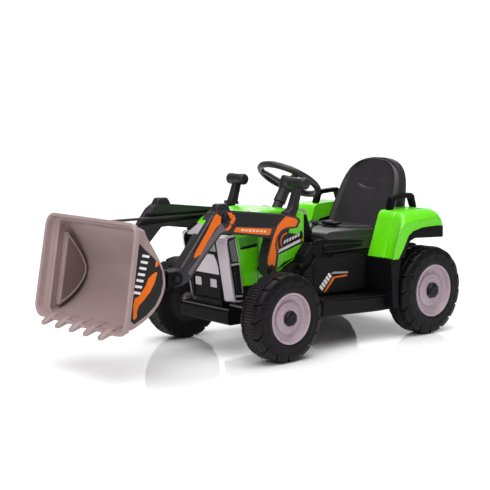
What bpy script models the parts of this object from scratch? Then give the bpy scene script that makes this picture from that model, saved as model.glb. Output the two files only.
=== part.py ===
"""Ride-on toy front loader: a child's battery tractor with loader arms and a bucket.

Metres, +Z up, the bucket towards -Y, the left side +X.
Shapes are drawn from the front axle (y = 0 there) and shifted by SHIFT_Y,
so that the origin is the middle of the underside of the bounding box.
"""

import math

import bmesh
import bpy
from mathutils import Matrix, Vector

SHIFT_Y = -0.0970
GAP = 0.0003

WHEELBASE = 0.589
FRONT_RADIUS = 0.120
REAR_RADIUS = 0.132
TYRE_WIDTH = 0.080
FRONT_FACE_X = 0.2575
REAR_FACE_X = 0.2525
FRONT_RIM_RADIUS = 0.072
REAR_RIM_RADIUS = 0.081
AXLE_RADIUS = 0.006
BORE_RADIUS = 0.0065
KINGPIN_X = 0.158
TIE_ROD_Y = 0.045

HOOD_HALF = 0.0925
HOOD_TOP = 0.396
TUB_HALF = 0.135
SEAT_HALF = 0.1345
FENDER_IN = 0.1355
SEAT_TOP = 0.322

ARM_IN = 0.113
ARM_OUT = 0.147
LIFT_YZ = (0.027, 0.235)
TILT_YZ = (-0.303, 0.246)
LEVER_YZ = (0.085, 0.325)
LEVER_PIN_YZ = (0.103, 0.3725)
ROD_FRONT_YZ = (-0.403, 0.3725)
ROD_X = -0.1195

WHEEL_YZ = (0.228, 0.469)
COLUMN_DIR = Vector((0.0, 0.514, 0.857)).normalized()
WHEEL_RING_RADIUS = 0.090
WHEEL_TUBE_RADIUS = 0.010


def clear_scene():
    for obj in list(bpy.data.objects):
        bpy.data.objects.remove(obj, do_unlink=True)


def make_material(name, colour, roughness, metallic=0.0):
    mat = bpy.data.materials.new(name)
    mat.use_nodes = True
    mat.diffuse_color = (*colour, 1.0)
    shader = mat.node_tree.nodes["Principled BSDF"]
    shader.inputs["Base Color"].default_value = (*colour, 1.0)
    shader.inputs["Roughness"].default_value = roughness
    shader.inputs["Metallic"].default_value = metallic
    return mat


def bevel_sharp(bm, width, degrees=35.0):
    """Chamfers every edge sharper than this angle."""
    if width <= 0.0:
        return
    sharp = [e for e in bm.edges if e.is_manifold and e.calc_face_angle(0.0) > math.radians(degrees)]
    bmesh.ops.bevel(bm, geom=sharp, offset=width, segments=1, affect="EDGES", clamp_overlap=True)


def prism(outline, x0, x1, bevel=0.0):
    """A side outline of (y, z) points, drawn out from x0 to x1."""
    bm = bmesh.new()
    near = [bm.verts.new((x0, y, z)) for y, z in outline]
    far = [bm.verts.new((x1, y, z)) for y, z in outline]
    bm.faces.new(near)
    bm.faces.new(far)
    count = len(outline)
    for i in range(count):
        j = (i + 1) % count
        bm.faces.new((near[i], near[j], far[j], far[i]))
    bmesh.ops.recalc_face_normals(bm, faces=bm.faces)
    bevel_sharp(bm, bevel)
    return bm


def loft(sections):
    """Closed sections with the same number of points, joined in order and capped."""
    bm = bmesh.new()
    rows = [[bm.verts.new(p) for p in section] for section in sections]
    bm.faces.new(rows[0])
    bm.faces.new(rows[-1])
    count = len(rows[0])
    for row, following in zip(rows, rows[1:]):
        for i in range(count):
            j = (i + 1) % count
            bm.faces.new((row[i], row[j], following[j], following[i]))
    bmesh.ops.recalc_face_normals(bm, faces=bm.faces)
    return bm


def section(middle, half, start, end, end_half=None):
    """Four corners, this far each side of the middle at one (y, z) point and back at another."""
    end_half = half if end_half is None else end_half
    return [
        (middle - half, *start),
        (middle + half, *start),
        (middle + end_half, *end),
        (middle - end_half, *end),
    ]


def box(x0, x1, y0, y1, z0, z1, bevel=0.0):
    return prism([(y0, z0), (y1, z0), (y1, z1), (y0, z1)], x0, x1, bevel)


def lathe(profile, steps, centre, axis):
    """Turns a closed profile of (along the axis, radius) points round the axis."""
    bm = bmesh.new()
    turn = Vector((0.0, 0.0, 1.0)).rotation_difference(Vector(axis)).to_matrix().to_4x4()
    place = Matrix.Translation(centre) @ turn
    rows = []
    for along, radius in profile:
        if radius < 1e-6:
            rows.append([bm.verts.new(place @ Vector((0.0, 0.0, along)))])
            continue
        row = []
        for k in range(steps):
            angle = 2.0 * math.pi * k / steps
            point = Vector((radius * math.cos(angle), radius * math.sin(angle), along))
            row.append(bm.verts.new(place @ point))
        rows.append(row)
    for row, following in zip(rows, rows[1:] + rows[:1]):
        if len(row) == 1 and len(following) == 1:
            continue
        for k in range(steps):
            m = (k + 1) % steps
            near = [row[k % len(row)], row[m % len(row)]]
            far = [following[m % len(following)], following[k % len(following)]]
            bm.faces.new(list(dict.fromkeys(near + far)))
    bmesh.ops.recalc_face_normals(bm, faces=bm.faces)
    return bm


def rod(start, end, radius, steps=12):
    start = Vector(start)
    along = Vector(end) - start
    profile = [(0.0, 0.0), (0.0, radius), (along.length, radius), (along.length, 0.0)]
    return lathe(profile, steps, start, along.normalized())


def cone(start, end, start_radius, end_radius, steps=12):
    start = Vector(start)
    along = Vector(end) - start
    profile = [(0.0, 0.0), (0.0, start_radius), (along.length, end_radius), (along.length, 0.0)]
    return lathe(profile, steps, start, along.normalized())


def evaluated(obj):
    graph = bpy.context.evaluated_depsgraph_get()
    bm = bmesh.new()
    bm.from_object(obj, graph)
    return bm


def as_object(bm, name):
    mesh = bpy.data.meshes.new(name)
    bm.to_mesh(mesh)
    bm.free()
    obj = bpy.data.objects.new(name, mesh)
    bpy.context.scene.collection.objects.link(obj)
    return obj


def combine(first, others, operation):
    """Boolean of a mesh with each of the others in turn."""
    for other in others:
        body = as_object(first, "body")
        tool = as_object(other, "tool")
        modifier = body.modifiers.new("join", "BOOLEAN")
        modifier.object = tool
        modifier.operation = operation
        modifier.solver = "EXACT"
        bpy.context.view_layer.update()
        first = evaluated(body)
        bpy.data.objects.remove(body, do_unlink=True)
        bpy.data.objects.remove(tool, do_unlink=True)
    bmesh.ops.dissolve_limit(first, angle_limit=math.radians(0.2), verts=first.verts, edges=first.edges)
    return first


def fuse(first, *others):
    return combine(first, others, "UNION")


def cut(first, *others):
    return combine(first, others, "DIFFERENCE")


def node(name, bm, colour, roughness, metallic=0.0, origin=(0.0, 0.0, 0.0), smooth=32.0):
    """Adds the mesh as a named piece, its origin on its joint axis."""
    origin = Vector(origin)
    bmesh.ops.translate(bm, verts=bm.verts, vec=-origin)
    bmesh.ops.triangulate(bm, faces=[f for f in bm.faces if len(f.verts) > 4])
    obj = as_object(bm, name)
    obj.location = origin + Vector((0.0, SHIFT_Y, 0.0))
    obj.data.materials.append(make_material(name, colour, roughness, metallic))
    obj.data.shade_smooth()
    obj.data.set_sharp_from_angle(angle=math.radians(smooth))
    return obj


def on_column(distance, across=0.0, down=0.0):
    """A point on the steering axis, counted from the centre of the wheel."""
    centre = Vector((0.0, *WHEEL_YZ))
    lateral = Vector((1.0, 0.0, 0.0))
    return centre + COLUMN_DIR * distance + lateral * across + COLUMN_DIR.cross(lateral) * down


BLACK = (0.018, 0.017, 0.019)
SATIN = (0.040, 0.036, 0.040)
GREEN = (0.115, 0.560, 0.010)
ORANGE = (0.800, 0.130, 0.012)
PINK_GREY = (0.520, 0.430, 0.450)
SILVER = (0.560, 0.550, 0.560)
STEEL = (0.420, 0.420, 0.430)

SIDES = (("left", 1.0), ("right", -1.0))


# ---------------------------------------------------------------- wheels

def tyre(radius, rim_radius, face_x, side, centre_y, lugs=16):
    """A closed ring whose tread stands out in lugs, staggered on its two halves."""
    bm = bmesh.new()
    inner = rim_radius - 0.002
    width = TYRE_WIDTH
    carcass = radius - 0.007
    profile = [
        (0.002, inner, 0.0, 0),
        (0.0, rim_radius + 0.008, 0.0, 0),
        (0.004, carcass - 0.012, 0.0, 0),
        (0.012, carcass - 0.001, 1.0, 0),
        (0.030, carcass + 0.004, 0.3, 0),
        (width - 0.030, carcass + 0.004, 0.3, 1),
        (width - 0.012, carcass - 0.001, 1.0, 1),
        (width - 0.004, carcass - 0.012, 0.0, 1),
        (width, rim_radius + 0.008, 0.0, 1),
        (width - 0.002, inner, 0.0, 1),
    ]
    steps = lugs * 4
    crown = radius / math.cos(math.pi / steps)
    rows = []
    for depth, base, lug, half in profile:
        row = []
        for k in range(steps):
            raised = (k + 1 + 2 * half) % 4 in (0, 1)
            out = base + (lug * (crown - base) if raised else 0.0)
            angle = 2.0 * math.pi * (k + 0.5) / steps
            x = side * (face_x - depth)
            row.append(bm.verts.new((x, centre_y + out * math.sin(angle), radius + out * math.cos(angle))))
        rows.append(row)
    for row, following in zip(rows, rows[1:] + rows[:1]):
        for k in range(steps):
            m = (k + 1) % steps
            bm.faces.new((row[k], row[m], following[m], following[k]))
    bmesh.ops.recalc_face_normals(bm, faces=bm.faces)
    return bm


def rim(rim_radius, face_x, side, centre_y, height):
    """A dished disc with concentric steps and a hub that runs on the axle."""
    edge = rim_radius - 0.002 - GAP
    profile = [
        (-0.004, edge),
        (-0.008, edge - 0.005),
        (-0.017, edge - 0.008),
        (-0.018, edge * 0.62),
        (-0.014, edge * 0.56),
        (-0.010, 0.0155),
        (-0.010, BORE_RADIUS),
        (-0.066, BORE_RADIUS),
        (-0.066, 0.016),
        (-0.028, 0.020),
        (-0.028, edge - 0.012),
        (-0.066, edge - 0.004),
        (-0.066, edge),
    ]
    return lathe(profile, 24, (side * face_x, centre_y, height), (side, 0.0, 0.0))


def add_wheel(place, side_name, side):
    front = place == "front"
    radius = FRONT_RADIUS if front else REAR_RADIUS
    rim_radius = FRONT_RIM_RADIUS if front else REAR_RIM_RADIUS
    face_x = FRONT_FACE_X if front else REAR_FACE_X
    centre_y = 0.0 if front else WHEELBASE
    origin = (side * (face_x - TYRE_WIDTH / 2.0), centre_y, radius)
    label = f"{place}_{side_name}"
    node(f"tyre_{label}", tyre(radius, rim_radius, face_x, side, centre_y), BLACK, 0.55, origin=origin)
    node(f"rim_{label}", rim(rim_radius, face_x, side, centre_y, radius), PINK_GREY, 0.38, origin=origin)
    profile = [
        (-0.0097, 0.0),
        (-0.0097, 0.0225),
        (0.001, 0.0225),
        (0.004, 0.0180),
        (0.004, 0.0),
    ]
    cap = lathe(profile, 12, (side * face_x, centre_y, radius), (side, 0.0, 0.0))
    node(f"hub_cap_{label}", cap, BLACK, 0.35, origin=origin, smooth=20.0)


clear_scene()
for side_name, side in SIDES:
    add_wheel("front", side_name, side)
    add_wheel("rear", side_name, side)


# ---------------------------------------------------------------- body

tub = prism(
    [(0.100, 0.100), (0.100, 0.218), (0.150, 0.240), (0.205, 0.262),
     (0.640, 0.262), (0.672, 0.235), (0.672, 0.150), (0.640, 0.100)],
    -TUB_HALF, TUB_HALF, 0.005,
)
for side_name, side in SIDES:
    step = prism(
        [(0.156, 0.098), (0.162, 0.145), (0.345, 0.134), (0.452, 0.130), (0.449, 0.088), (0.390, 0.088)],
        side * 0.128, side * 0.214, 0.004,
    )
    column = prism(
        [(0.425, 0.095), (0.412, 0.2405), (0.458, 0.2405), (0.449, 0.200), (0.446, 0.132), (0.449, 0.095)],
        side * 0.128, side * 0.236, 0.004,
    )
    engine = prism(
        [(0.152, 0.142), (0.152, 0.212), (0.180, 0.232), (0.200, 0.256), (0.400, 0.248), (0.400, 0.142)],
        side * 0.120, side * 0.142, 0.004,
    )
    shoulder = prism(
        [(0.150, 0.230), (0.162, 0.262), (0.192, 0.296), (0.239, 0.292), (0.239, 0.250)],
        side * (HOOD_HALF + 0.0015), side * TUB_HALF, 0.004,
    )
    tub = fuse(tub, step, column, engine, shoulder)
hollow = prism(
    [(0.112, 0.050), (0.112, 0.206), (0.160, 0.228), (0.215, 0.251),
     (0.630, 0.251), (0.656, 0.230), (0.656, 0.150), (0.630, 0.050)],
    -0.125, 0.125,
)
rear_bore = rod((-0.2, WHEELBASE, REAR_RADIUS), (0.2, WHEELBASE, REAR_RADIUS), BORE_RADIUS + 0.0005)
tub = cut(
    tub, hollow, rear_bore,
    box(0.1185, 0.16, 0.05, 0.148, 0.05, 0.30),
    box(-0.16, -0.1185, 0.05, 0.148, 0.05, 0.30),
)
battery_tray = box(-0.130, 0.130, 0.270, 0.410, 0.101, 0.1047)
tub = fuse(tub, battery_tray)
node("body_tub", tub, BLACK, 0.45)

frame = fuse(
    box(-0.090, 0.090, -0.027, 0.0997, 0.152, 0.1897, 0.003),
    box(-0.0640, 0.0640, -0.068, -0.020, 0.152, 0.1897, 0.003),
    box(0.070, 0.082, 0.010, 0.046, 0.186, 0.256),
    box(-0.082, -0.070, 0.010, 0.046, 0.186, 0.256),
)
lift_bore = rod((-0.2, *LIFT_YZ), (0.2, *LIFT_YZ), BORE_RADIUS)
frame = cut(frame, lift_bore, rod(on_column(-0.44), on_column(-0.20), 0.0085))
node("front_frame", frame, BLACK, 0.50)

beam = fuse(
    box(-0.150, 0.150, -0.012, 0.012, 0.128, 0.1515, 0.002),
    rod((KINGPIN_X, 0.0, 0.128), (KINGPIN_X, 0.0, 0.1515), 0.013, 16),
    rod((-KINGPIN_X, 0.0, 0.128), (-KINGPIN_X, 0.0, 0.1515), 0.013, 16),
)
beam = cut(
    beam,
    rod((KINGPIN_X, 0.0, 0.10), (KINGPIN_X, 0.0, 0.17), BORE_RADIUS),
    rod((-KINGPIN_X, 0.0, 0.10), (-KINGPIN_X, 0.0, 0.17), BORE_RADIUS),
)
node("front_axle_beam", beam, (0.09, 0.09, 0.095), 0.45, 0.6)

hood = prism(
    [(-0.0700, 0.1905), (-0.0700, 0.333), (-0.0520, 0.352), (-0.0200, 0.376), (0.0300, 0.391),
     (0.0900, HOOD_TOP), (0.1600, HOOD_TOP - 0.004), (0.2000, HOOD_TOP - 0.013), (0.2000, 0.2640),
     (0.1500, 0.2425), (0.0995, 0.2205), (0.0995, 0.1905)],
    -HOOD_HALF, HOOD_HALF, 0.005,
)
hood_hollow = prism(
    [(-0.0645, 0.100), (-0.0645, 0.3305), (-0.0480, 0.3475), (-0.0180, 0.3705), (0.0310, 0.3850),
     (0.0900, HOOD_TOP - 0.006), (0.1590, HOOD_TOP - 0.010), (0.1940, HOOD_TOP - 0.018), (0.1940, 0.100)],
    -HOOD_HALF + 0.006, HOOD_HALF - 0.006,
)
hood = cut(
    hood, hood_hollow,
    box(0.0647, 0.12, -0.12, -0.0277, 0.15, 0.3335),
    box(-0.12, -0.0647, -0.12, -0.0277, 0.15, 0.3335),
    box(-0.12, 0.12, 0.024, 0.086, 0.205, 0.345),
    rod(on_column(-0.15), on_column(-0.05), 0.0100),
    rod((-0.2, *LIFT_YZ), (0.2, *LIFT_YZ), BORE_RADIUS),
)
node("hood_shell", hood, GREEN, 0.28)

# The headlight columns lean forward: their top stands ahead of their foot.
COLUMN_OUTLINE = (
    (-0.0770, 0.1500), (-0.1080, 0.3150), (-0.1060, 0.3270), (-0.0960, 0.3330), (-0.0640, 0.3330),
    (-0.0560, 0.3280), (-0.0290, 0.1480),
)
LENS_POCKET = ((-0.0735, 0.1680), (-0.0992, 0.3190), (-0.0600, 0.3190), (-0.0375, 0.1680))
LENS_OUTLINE = ((-0.0730, 0.1683), (-0.0987, 0.3187), (-0.0605, 0.3187), (-0.0380, 0.1683))

for side_name, side in SIDES:
    grille = cut(
        box(side * 0.0870, side * 0.0912, 0.0243, 0.0857, 0.2053, 0.3447, 0.0008),
        rod((-0.2, *LIFT_YZ), (0.2, *LIFT_YZ), BORE_RADIUS),
    )
    node(f"side_grille_{side_name}", grille, BLACK, 0.50)

    column = prism(COLUMN_OUTLINE, side * 0.0650, side * 0.0950, 0.003)
    column = cut(column, prism(LENS_POCKET, side * 0.0910, side * 0.12))
    lens = prism(LENS_OUTLINE, side * 0.0913, side * 0.0944, 0.0008)
    node(f"headlight_column_{side_name}", column, SILVER, 0.22, 0.6)
    node(f"headlight_lens_{side_name}", lens, (0.02, 0.02, 0.024), 0.10)

fascia = prism(
    [(-0.0770, 0.152), (-0.0805, 0.158), (-0.0865, 0.245), (-0.0985, 0.315), (-0.1010, 0.322),
     (-0.0980, 0.3275), (-0.0703, 0.3450), (-0.0703, 0.152)],
    -0.0645, 0.0645, 0.0015,
)
fascia = cut(
    fascia,
    box(0.020, 0.046, -0.12, -0.0770, 0.186, 0.210),
    box(-0.046, -0.020, -0.12, -0.0770, 0.186, 0.210),
)
nose = prism(
    [(-0.0703, 0.3333), (-0.0523, 0.3524), (-0.0560, 0.3545), (-0.0790, 0.3390), (-0.0800, 0.3345)],
    -HOOD_HALF, HOOD_HALF, 0.001,
)
node("front_fascia", fuse(fascia, nose), BLACK, 0.40)
for side_name, side in SIDES:
    lamp = box(side * 0.0204, side * 0.0456, -0.0805, -0.0773, 0.1864, 0.2096, 0.0008)
    node(f"fog_lamp_{side_name}", lamp, (0.55, 0.50, 0.52), 0.20)

bumper = fuse(
    prism(
        [(-0.0860, 0.0900), (-0.0935, 0.0980), (-0.0935, 0.1260), (-0.0870, 0.1340), (-0.0450, 0.1340),
         (-0.0400, 0.1280), (-0.0420, 0.0900)],
        -0.104, 0.104, 0.004,
    ),
    box(-0.058, 0.058, -0.076, -0.048, 0.128, 0.1517),
)
node("front_bumper", bumper, BLACK, 0.42)

PIVOT_HEAD = [(0.0, 0.0), (0.0, 0.013), (0.006, 0.012), (0.008, 0.009), (0.008, 0.0)]
bolt = fuse(
    rod((-0.1470, *LIFT_YZ), (0.1480, *LIFT_YZ), AXLE_RADIUS),
    lathe(PIVOT_HEAD, 16, (0.1473, *LIFT_YZ), (1.0, 0.0, 0.0)),
)
node("arm_pivot_bolt", bolt, STEEL, 0.35, 1.0)
nut = lathe(PIVOT_HEAD, 16, (-0.1473, *LIFT_YZ), (-1.0, 0.0, 0.0))
node("arm_pivot_nut", nut, BLACK, 0.35)

dash = prism(
    [(0.2003, 0.2640), (0.2003, 0.376), (0.212, 0.372), (0.228, 0.330), (0.228, 0.2640)],
    -HOOD_HALF, HOOD_HALF, 0.002,
)
BUTTON_AXIS = Vector((0.0, 0.934, 0.357)).normalized()
BUTTON_SEAT = Vector((-0.050, 0.220, 0.351)) - BUTTON_AXIS * 0.006
dash = cut(
    dash,
    rod(BUTTON_SEAT - BUTTON_AXIS * 0.0035, BUTTON_SEAT + BUTTON_AXIS * 0.02, 0.0090, 16),
    box(0.0780, 0.0920, 0.2160, 0.25, 0.300, 0.346),
)
node("dashboard", dash, BLACK, 0.45)
BUTTON_PROFILE = [(0.0, 0.0), (0.0, 0.0085), (0.0090, 0.0085), (0.0100, 0.0072), (0.0100, 0.0)]
power = lathe(BUTTON_PROFILE, 16, BUTTON_SEAT, BUTTON_AXIS)
node("power_button", power, (0.45, 0.02, 0.015), 0.35, origin=BUTTON_SEAT)
GEAR_YZ = (0.226, 0.322)
KNOB_PROFILE = [(-0.008, 0.0), (-0.006, 0.006), (0.0, 0.009), (0.006, 0.006), (0.008, 0.0)]
gear = fuse(
    rod((0.0785, *GEAR_YZ), (0.0915, *GEAR_YZ), 0.009, 16),
    rod((0.085, *GEAR_YZ), (0.085, 0.250, 0.342), 0.004, 10),
    lathe(KNOB_PROFILE, 12, (0.085, 0.252, 0.344), (0.0, 0.0, 1.0)),
)
node("gear_lever", gear, BLACK, 0.35, origin=(0.085, *GEAR_YZ))

# ---------------------------------------------------------------- seat

cushion = prism(
    [(0.2405, 0.2625), (0.2405, 0.306), (0.250, 0.318), (0.262, SEAT_TOP), (0.525, SEAT_TOP),
     (0.590, 0.310), (0.590, 0.2625)],
    -SEAT_HALF, SEAT_HALF, 0.007,
)
BACK_UP = Vector((0.0, 0.379, 0.9255)).normalized()
BACK_FOOT = Vector((0.0, 0.512, 0.303))
BACK_HEIGHT = 0.236
BACK_HALVES = (
    (0.0, 0.1340), (0.05, 0.1335), (0.11, 0.127), (0.155, 0.119), (0.185, 0.108), (0.210, 0.090),
    (0.226, 0.064), (BACK_HEIGHT, 0.030),
)


def back_outline(depth, inset):
    """The backrest's outline at this share of its depth, drawn in by the inset."""
    right = []
    for up, half in BACK_HALVES:
        thick = 0.030 + 0.16 * (BACK_HEIGHT - up)
        point = BACK_FOOT + BACK_UP * (up - inset * up / BACK_HEIGHT) + Vector((0.0, thick * depth, 0.0))
        right.append(point + Vector((half - inset, 0.0, 0.0)))
    left = [Vector((-p.x, p.y, p.z)) for p in reversed(right)]
    return right + left


backrest = loft([
    back_outline(0.0, 0.014), back_outline(0.15, 0.004), back_outline(0.35, 0.0),
    back_outline(0.80, 0.0), back_outline(1.0, 0.006),
])
node("seat", fuse(cushion, backrest), SATIN, 0.42)

BELT_OUTLINE = (
    (-0.118, 0.462), (-0.118, 0.432), (-0.010, 0.385), (0.020, 0.385), (0.118, 0.452), (0.118, 0.482),
    (0.016, 0.414), (-0.006, 0.414),
)
belt = loft([[(x, y, z) for x, y in BELT_OUTLINE] for z in (SEAT_TOP + GAP, SEAT_TOP + 0.0030)])
node("seat_belt", belt, BLACK, 0.80)
buckle = box(-0.022, 0.034, 0.380, 0.419, SEAT_TOP + 0.0033, SEAT_TOP + 0.0145, 0.003)
node("belt_buckle", buckle, BLACK, 0.35)

# ---------------------------------------------------------------- fenders

FENDER_TOP = (
    (0.4220, 0.2410), (0.4400, 0.2900), (0.4580, 0.3400), (0.4660, 0.3610), (0.4760, 0.3715),
    (0.5000, 0.3750), (0.5300, 0.3765), (0.5600, 0.3770), (0.5900, 0.3770), (0.6120, 0.3730),
    (0.6240, 0.3600), (0.6300, 0.3300),
)
FENDER_EDGE = (
    (0.4070, 0.2410), (0.4160, 0.2750), (0.4280, 0.3120), (0.4380, 0.3280), (0.4546, 0.3392),
    (0.4800, 0.3445), (0.5127, 0.3495), (0.5450, 0.3520), (0.5800, 0.3540), (0.6040, 0.3530),
    (0.6180, 0.3450), (0.6255, 0.3280),
)
FENDER_UNDER = (
    (0.6200, 0.3265), (0.5950, 0.3275), (0.5650, 0.3275), (0.5320, 0.3265), (0.4908, 0.3180),
    (0.4713, 0.3061), (0.4610, 0.2880), (0.4503, 0.2685), (0.4377, 0.2521), (0.4320, 0.2440),
    (0.4290, 0.2410),
)


def fender_section(x, drop):
    """The fender's side outline, its top edge moved this far towards the outer edge."""
    top = [Vector(a).lerp(Vector(b), drop) for a, b in zip(FENDER_TOP, FENDER_EDGE)]
    return [(x, *point) for point in top] + [(x, *point) for point in FENDER_UNDER]


for side_name, side in SIDES:
    fender = loft([
        fender_section(side * FENDER_IN, 0.0),
        fender_section(side * 0.215, 0.0),
        fender_section(side * 0.238, 0.35),
        fender_section(side * 0.2495, 1.0),
    ])
    node(f"fender_{side_name}", fender, GREEN, 0.25)
    arch = prism(
        [(0.4330, 0.2410), (0.4390, 0.2512), (0.4516, 0.2676), (0.4624, 0.2873), (0.4724, 0.3052),
         (0.4916, 0.3170), (0.5322, 0.3256), (0.5650, 0.3266), (0.5950, 0.3266), (0.6220, 0.3255),
         (0.6400, 0.3245), (0.6410, 0.2890), (0.5120, 0.2950), (0.4920, 0.2880), (0.4780, 0.2720),
         (0.4680, 0.2410)],
        side * FENDER_IN, side * 0.2400, 0.002,
    )
    node(f"rear_arch_{side_name}", arch, BLACK, 0.50)
    handle = prism(
        [(0.4840, 0.3732), (0.4936, 0.4085), (0.5030, 0.4165), (0.5790, 0.4212), (0.5915, 0.4140),
         (0.6040, 0.3752), (0.5910, 0.3770), (0.5805, 0.4030), (0.5730, 0.4075), (0.5105, 0.4035),
         (0.5065, 0.3995), (0.4975, 0.3748)],
        side * 0.145, side * 0.167, 0.002,
    )
    node(f"fender_handle_{side_name}", handle, BLACK, 0.40)

# ---------------------------------------------------------------- drive

battery = box(-0.050, 0.050, 0.300, 0.370, 0.1050, 0.1990, 0.002)
node("battery", battery, (0.05, 0.06, 0.10), 0.40)
AXLE_HALF = REAR_FACE_X - 0.0103
axle = rod((-AXLE_HALF, WHEELBASE, REAR_RADIUS), (AXLE_HALF, WHEELBASE, REAR_RADIUS), AXLE_RADIUS)
node("rear_axle", axle, STEEL, 0.30, 1.0)
for side_name, side in SIDES:
    gearbox = fuse(
        box(side * 0.080, side * 0.118, 0.555, 0.625, 0.104, 0.166, 0.003),
        rod((side * 0.099, 0.500, 0.136), (side * 0.099, 0.560, 0.136), 0.0165, 14),
    )
    rear_bore = rod((-0.2, WHEELBASE, REAR_RADIUS), (0.2, WHEELBASE, REAR_RADIUS), BORE_RADIUS + 0.0005)
    gearbox = cut(gearbox, rear_bore)
    node(f"gearbox_{side_name}", gearbox, (0.10, 0.10, 0.11), 0.50)

pedal = prism(
    [(0.262, 0.1405), (0.262, 0.149), (0.197, 0.186), (0.191, 0.181), (0.252, 0.1425)],
    -0.198, -0.152, 0.001,
)
node("accelerator_pedal", pedal, BLACK, 0.45, origin=(-0.175, 0.258, 0.1445))

# ---------------------------------------------------------------- steering

for side_name, side in SIDES:
    pin_x = side * KINGPIN_X
    stub_end = side * (FRONT_FACE_X - 0.0103)
    knuckle = fuse(
        box(side * 0.147, side * 0.170, -0.0115, 0.0115, 0.1000, 0.1277),
        rod((pin_x, 0.0, 0.1100), (pin_x, 0.0, 0.1560), AXLE_RADIUS),
        rod((pin_x, 0.0, 0.1518), (pin_x, 0.0, 0.1570), 0.0095),
        rod((side * 0.165, 0.0, FRONT_RADIUS), (stub_end, 0.0, FRONT_RADIUS), AXLE_RADIUS),
        box(side * 0.151, side * 0.165, 0.006, 0.053, 0.1010, 0.1080),
        rod((pin_x, TIE_ROD_Y, 0.1060), (pin_x, TIE_ROD_Y, 0.1220), 0.004, 10),
    )
    node(f"knuckle_{side_name}", knuckle, STEEL, 0.40, 1.0, origin=(pin_x, 0.0, FRONT_RADIUS))

tie_rod = fuse(
    box(-0.152, 0.152, 0.040, 0.050, 0.1085, 0.1165),
    box(-0.017, 0.017, 0.030, 0.064, 0.1085, 0.1165),
    box(0.148, 0.168, 0.033, 0.057, 0.1085, 0.1165),
    box(-0.168, -0.148, 0.033, 0.057, 0.1085, 0.1165),
)
tie_rod = cut(
    tie_rod,
    box(-0.0045, 0.0045, 0.0365, 0.0570, 0.09, 0.13),
    box(0.1535, 0.1625, 0.0385, 0.0505, 0.09, 0.13),
    box(-0.1625, -0.1535, 0.0385, 0.0505, 0.09, 0.13),
)
node("tie_rod", tie_rod, STEEL, 0.40, 1.0, origin=(0.0, TIE_ROD_Y, 0.1125))

CRANK_FOOT = on_column(-0.3816)
CRANK_END = on_column(-0.3816, down=0.028)
shaft = fuse(
    rod(CRANK_FOOT, on_column(-0.0455), AXLE_RADIUS),
    rod(CRANK_FOOT, CRANK_END, 0.005),
    rod(CRANK_END + COLUMN_DIR * 0.004, CRANK_END - COLUMN_DIR * 0.0215, 0.004, 10),
)
node("steering_shaft", shaft, STEEL, 0.35, 1.0, origin=(0.0, *WHEEL_YZ))


def ring(radius, tube, steps, sides):
    """The rim of the steering wheel, round the steering axis."""
    section = []
    for k in range(sides):
        angle = 2.0 * math.pi * k / sides
        section.append((tube * math.sin(angle), radius + tube * math.cos(angle)))
    return lathe(section, steps, on_column(0.0), COLUMN_DIR)


spokes = []
for degrees in (90.0, 210.0, 330.0):
    across = WHEEL_RING_RADIUS * math.cos(math.radians(degrees))
    down = WHEEL_RING_RADIUS * math.sin(math.radians(degrees))
    spokes.append(cone(on_column(-0.022), on_column(0.0, across, down), 0.011, 0.008, 10))
wheel = fuse(
    ring(WHEEL_RING_RADIUS, WHEEL_TUBE_RADIUS, 30, 6),
    cone(on_column(-0.076), on_column(-0.026), 0.0180, 0.0148, 16),
    cone(on_column(-0.034), on_column(0.002), 0.0200, 0.0240, 16),
    *spokes,
)
wheel = cut(
    wheel,
    rod(on_column(-0.10), on_column(-0.045), BORE_RADIUS),
    rod(on_column(-0.009), on_column(0.02), 0.0155, 16),
)
node("steering_wheel", wheel, BLACK, 0.50, origin=(0.0, *WHEEL_YZ))
HORN_PROFILE = [(0.0, 0.0), (0.0, 0.0150), (0.0100, 0.0150), (0.0125, 0.0120), (0.0125, 0.0)]
horn = lathe(HORN_PROFILE, 16, on_column(-0.0055), COLUMN_DIR)
node("horn_button", horn, (0.55, 0.10, 0.010), 0.35, origin=on_column(-0.0055))

# ---------------------------------------------------------------- loader

ARM_TOP = (
    (-0.1760, 0.4030), (-0.1620, 0.4110), (-0.1200, 0.4085), (0.0800, 0.3860), (0.1220, 0.3760),
    (0.1360, 0.3650), (0.1220, 0.3450),
)
# The right arm's post is wider at the back than the left one's: it carries the tilt lever.
POST_REAR_RIGHT = ((0.0980, 0.3330), (0.0750, 0.3000), (0.0470, 0.2400))
POST_REAR_LEFT = (
    (0.0860, 0.3450), (0.0660, 0.3400), (0.0510, 0.3240), (0.0450, 0.3040), (0.0520, 0.2720),
    (0.0470, 0.2400),
)
ARM_REST = (
    (0.0420, 0.2240), (0.0270, 0.2170), (0.0120, 0.2240), (0.0080, 0.2400), (0.0080, 0.2700),
    (0.0260, 0.3230), (-0.0300, 0.3335), (-0.1300, 0.3470), (-0.1520, 0.3460), (-0.2040, 0.2950),
    (-0.2560, 0.2380), (-0.2780, 0.2260), (-0.3030, 0.2235), (-0.3210, 0.2330), (-0.3255, 0.2480),
    (-0.3180, 0.2630), (-0.2870, 0.2690),
)
ARM_GROOVE = (
    (-0.260, 0.350), (-0.150, 0.356), (0.072, 0.3625), (0.072, 0.3835), (-0.150, 0.3845), (-0.260, 0.389),
)
LEVER_POCKET = (
    (0.064, 0.304), (0.106, 0.304), (0.150, 0.345), (0.150, 0.410), (0.050, 0.410), (0.060, 0.335),
)
DISC_PROFILE = [(-0.004, 0.0), (-0.004, 0.013), (0.004, 0.012), (0.006, 0.009), (0.006, 0.0)]
KNOB_SECTIONS = (
    (0.4050, -0.1660, -0.1170, 0.0140),
    (0.4200, -0.1610, -0.1210, 0.0125),
    (0.4275, -0.1550, -0.1270, 0.0090),
)

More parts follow.
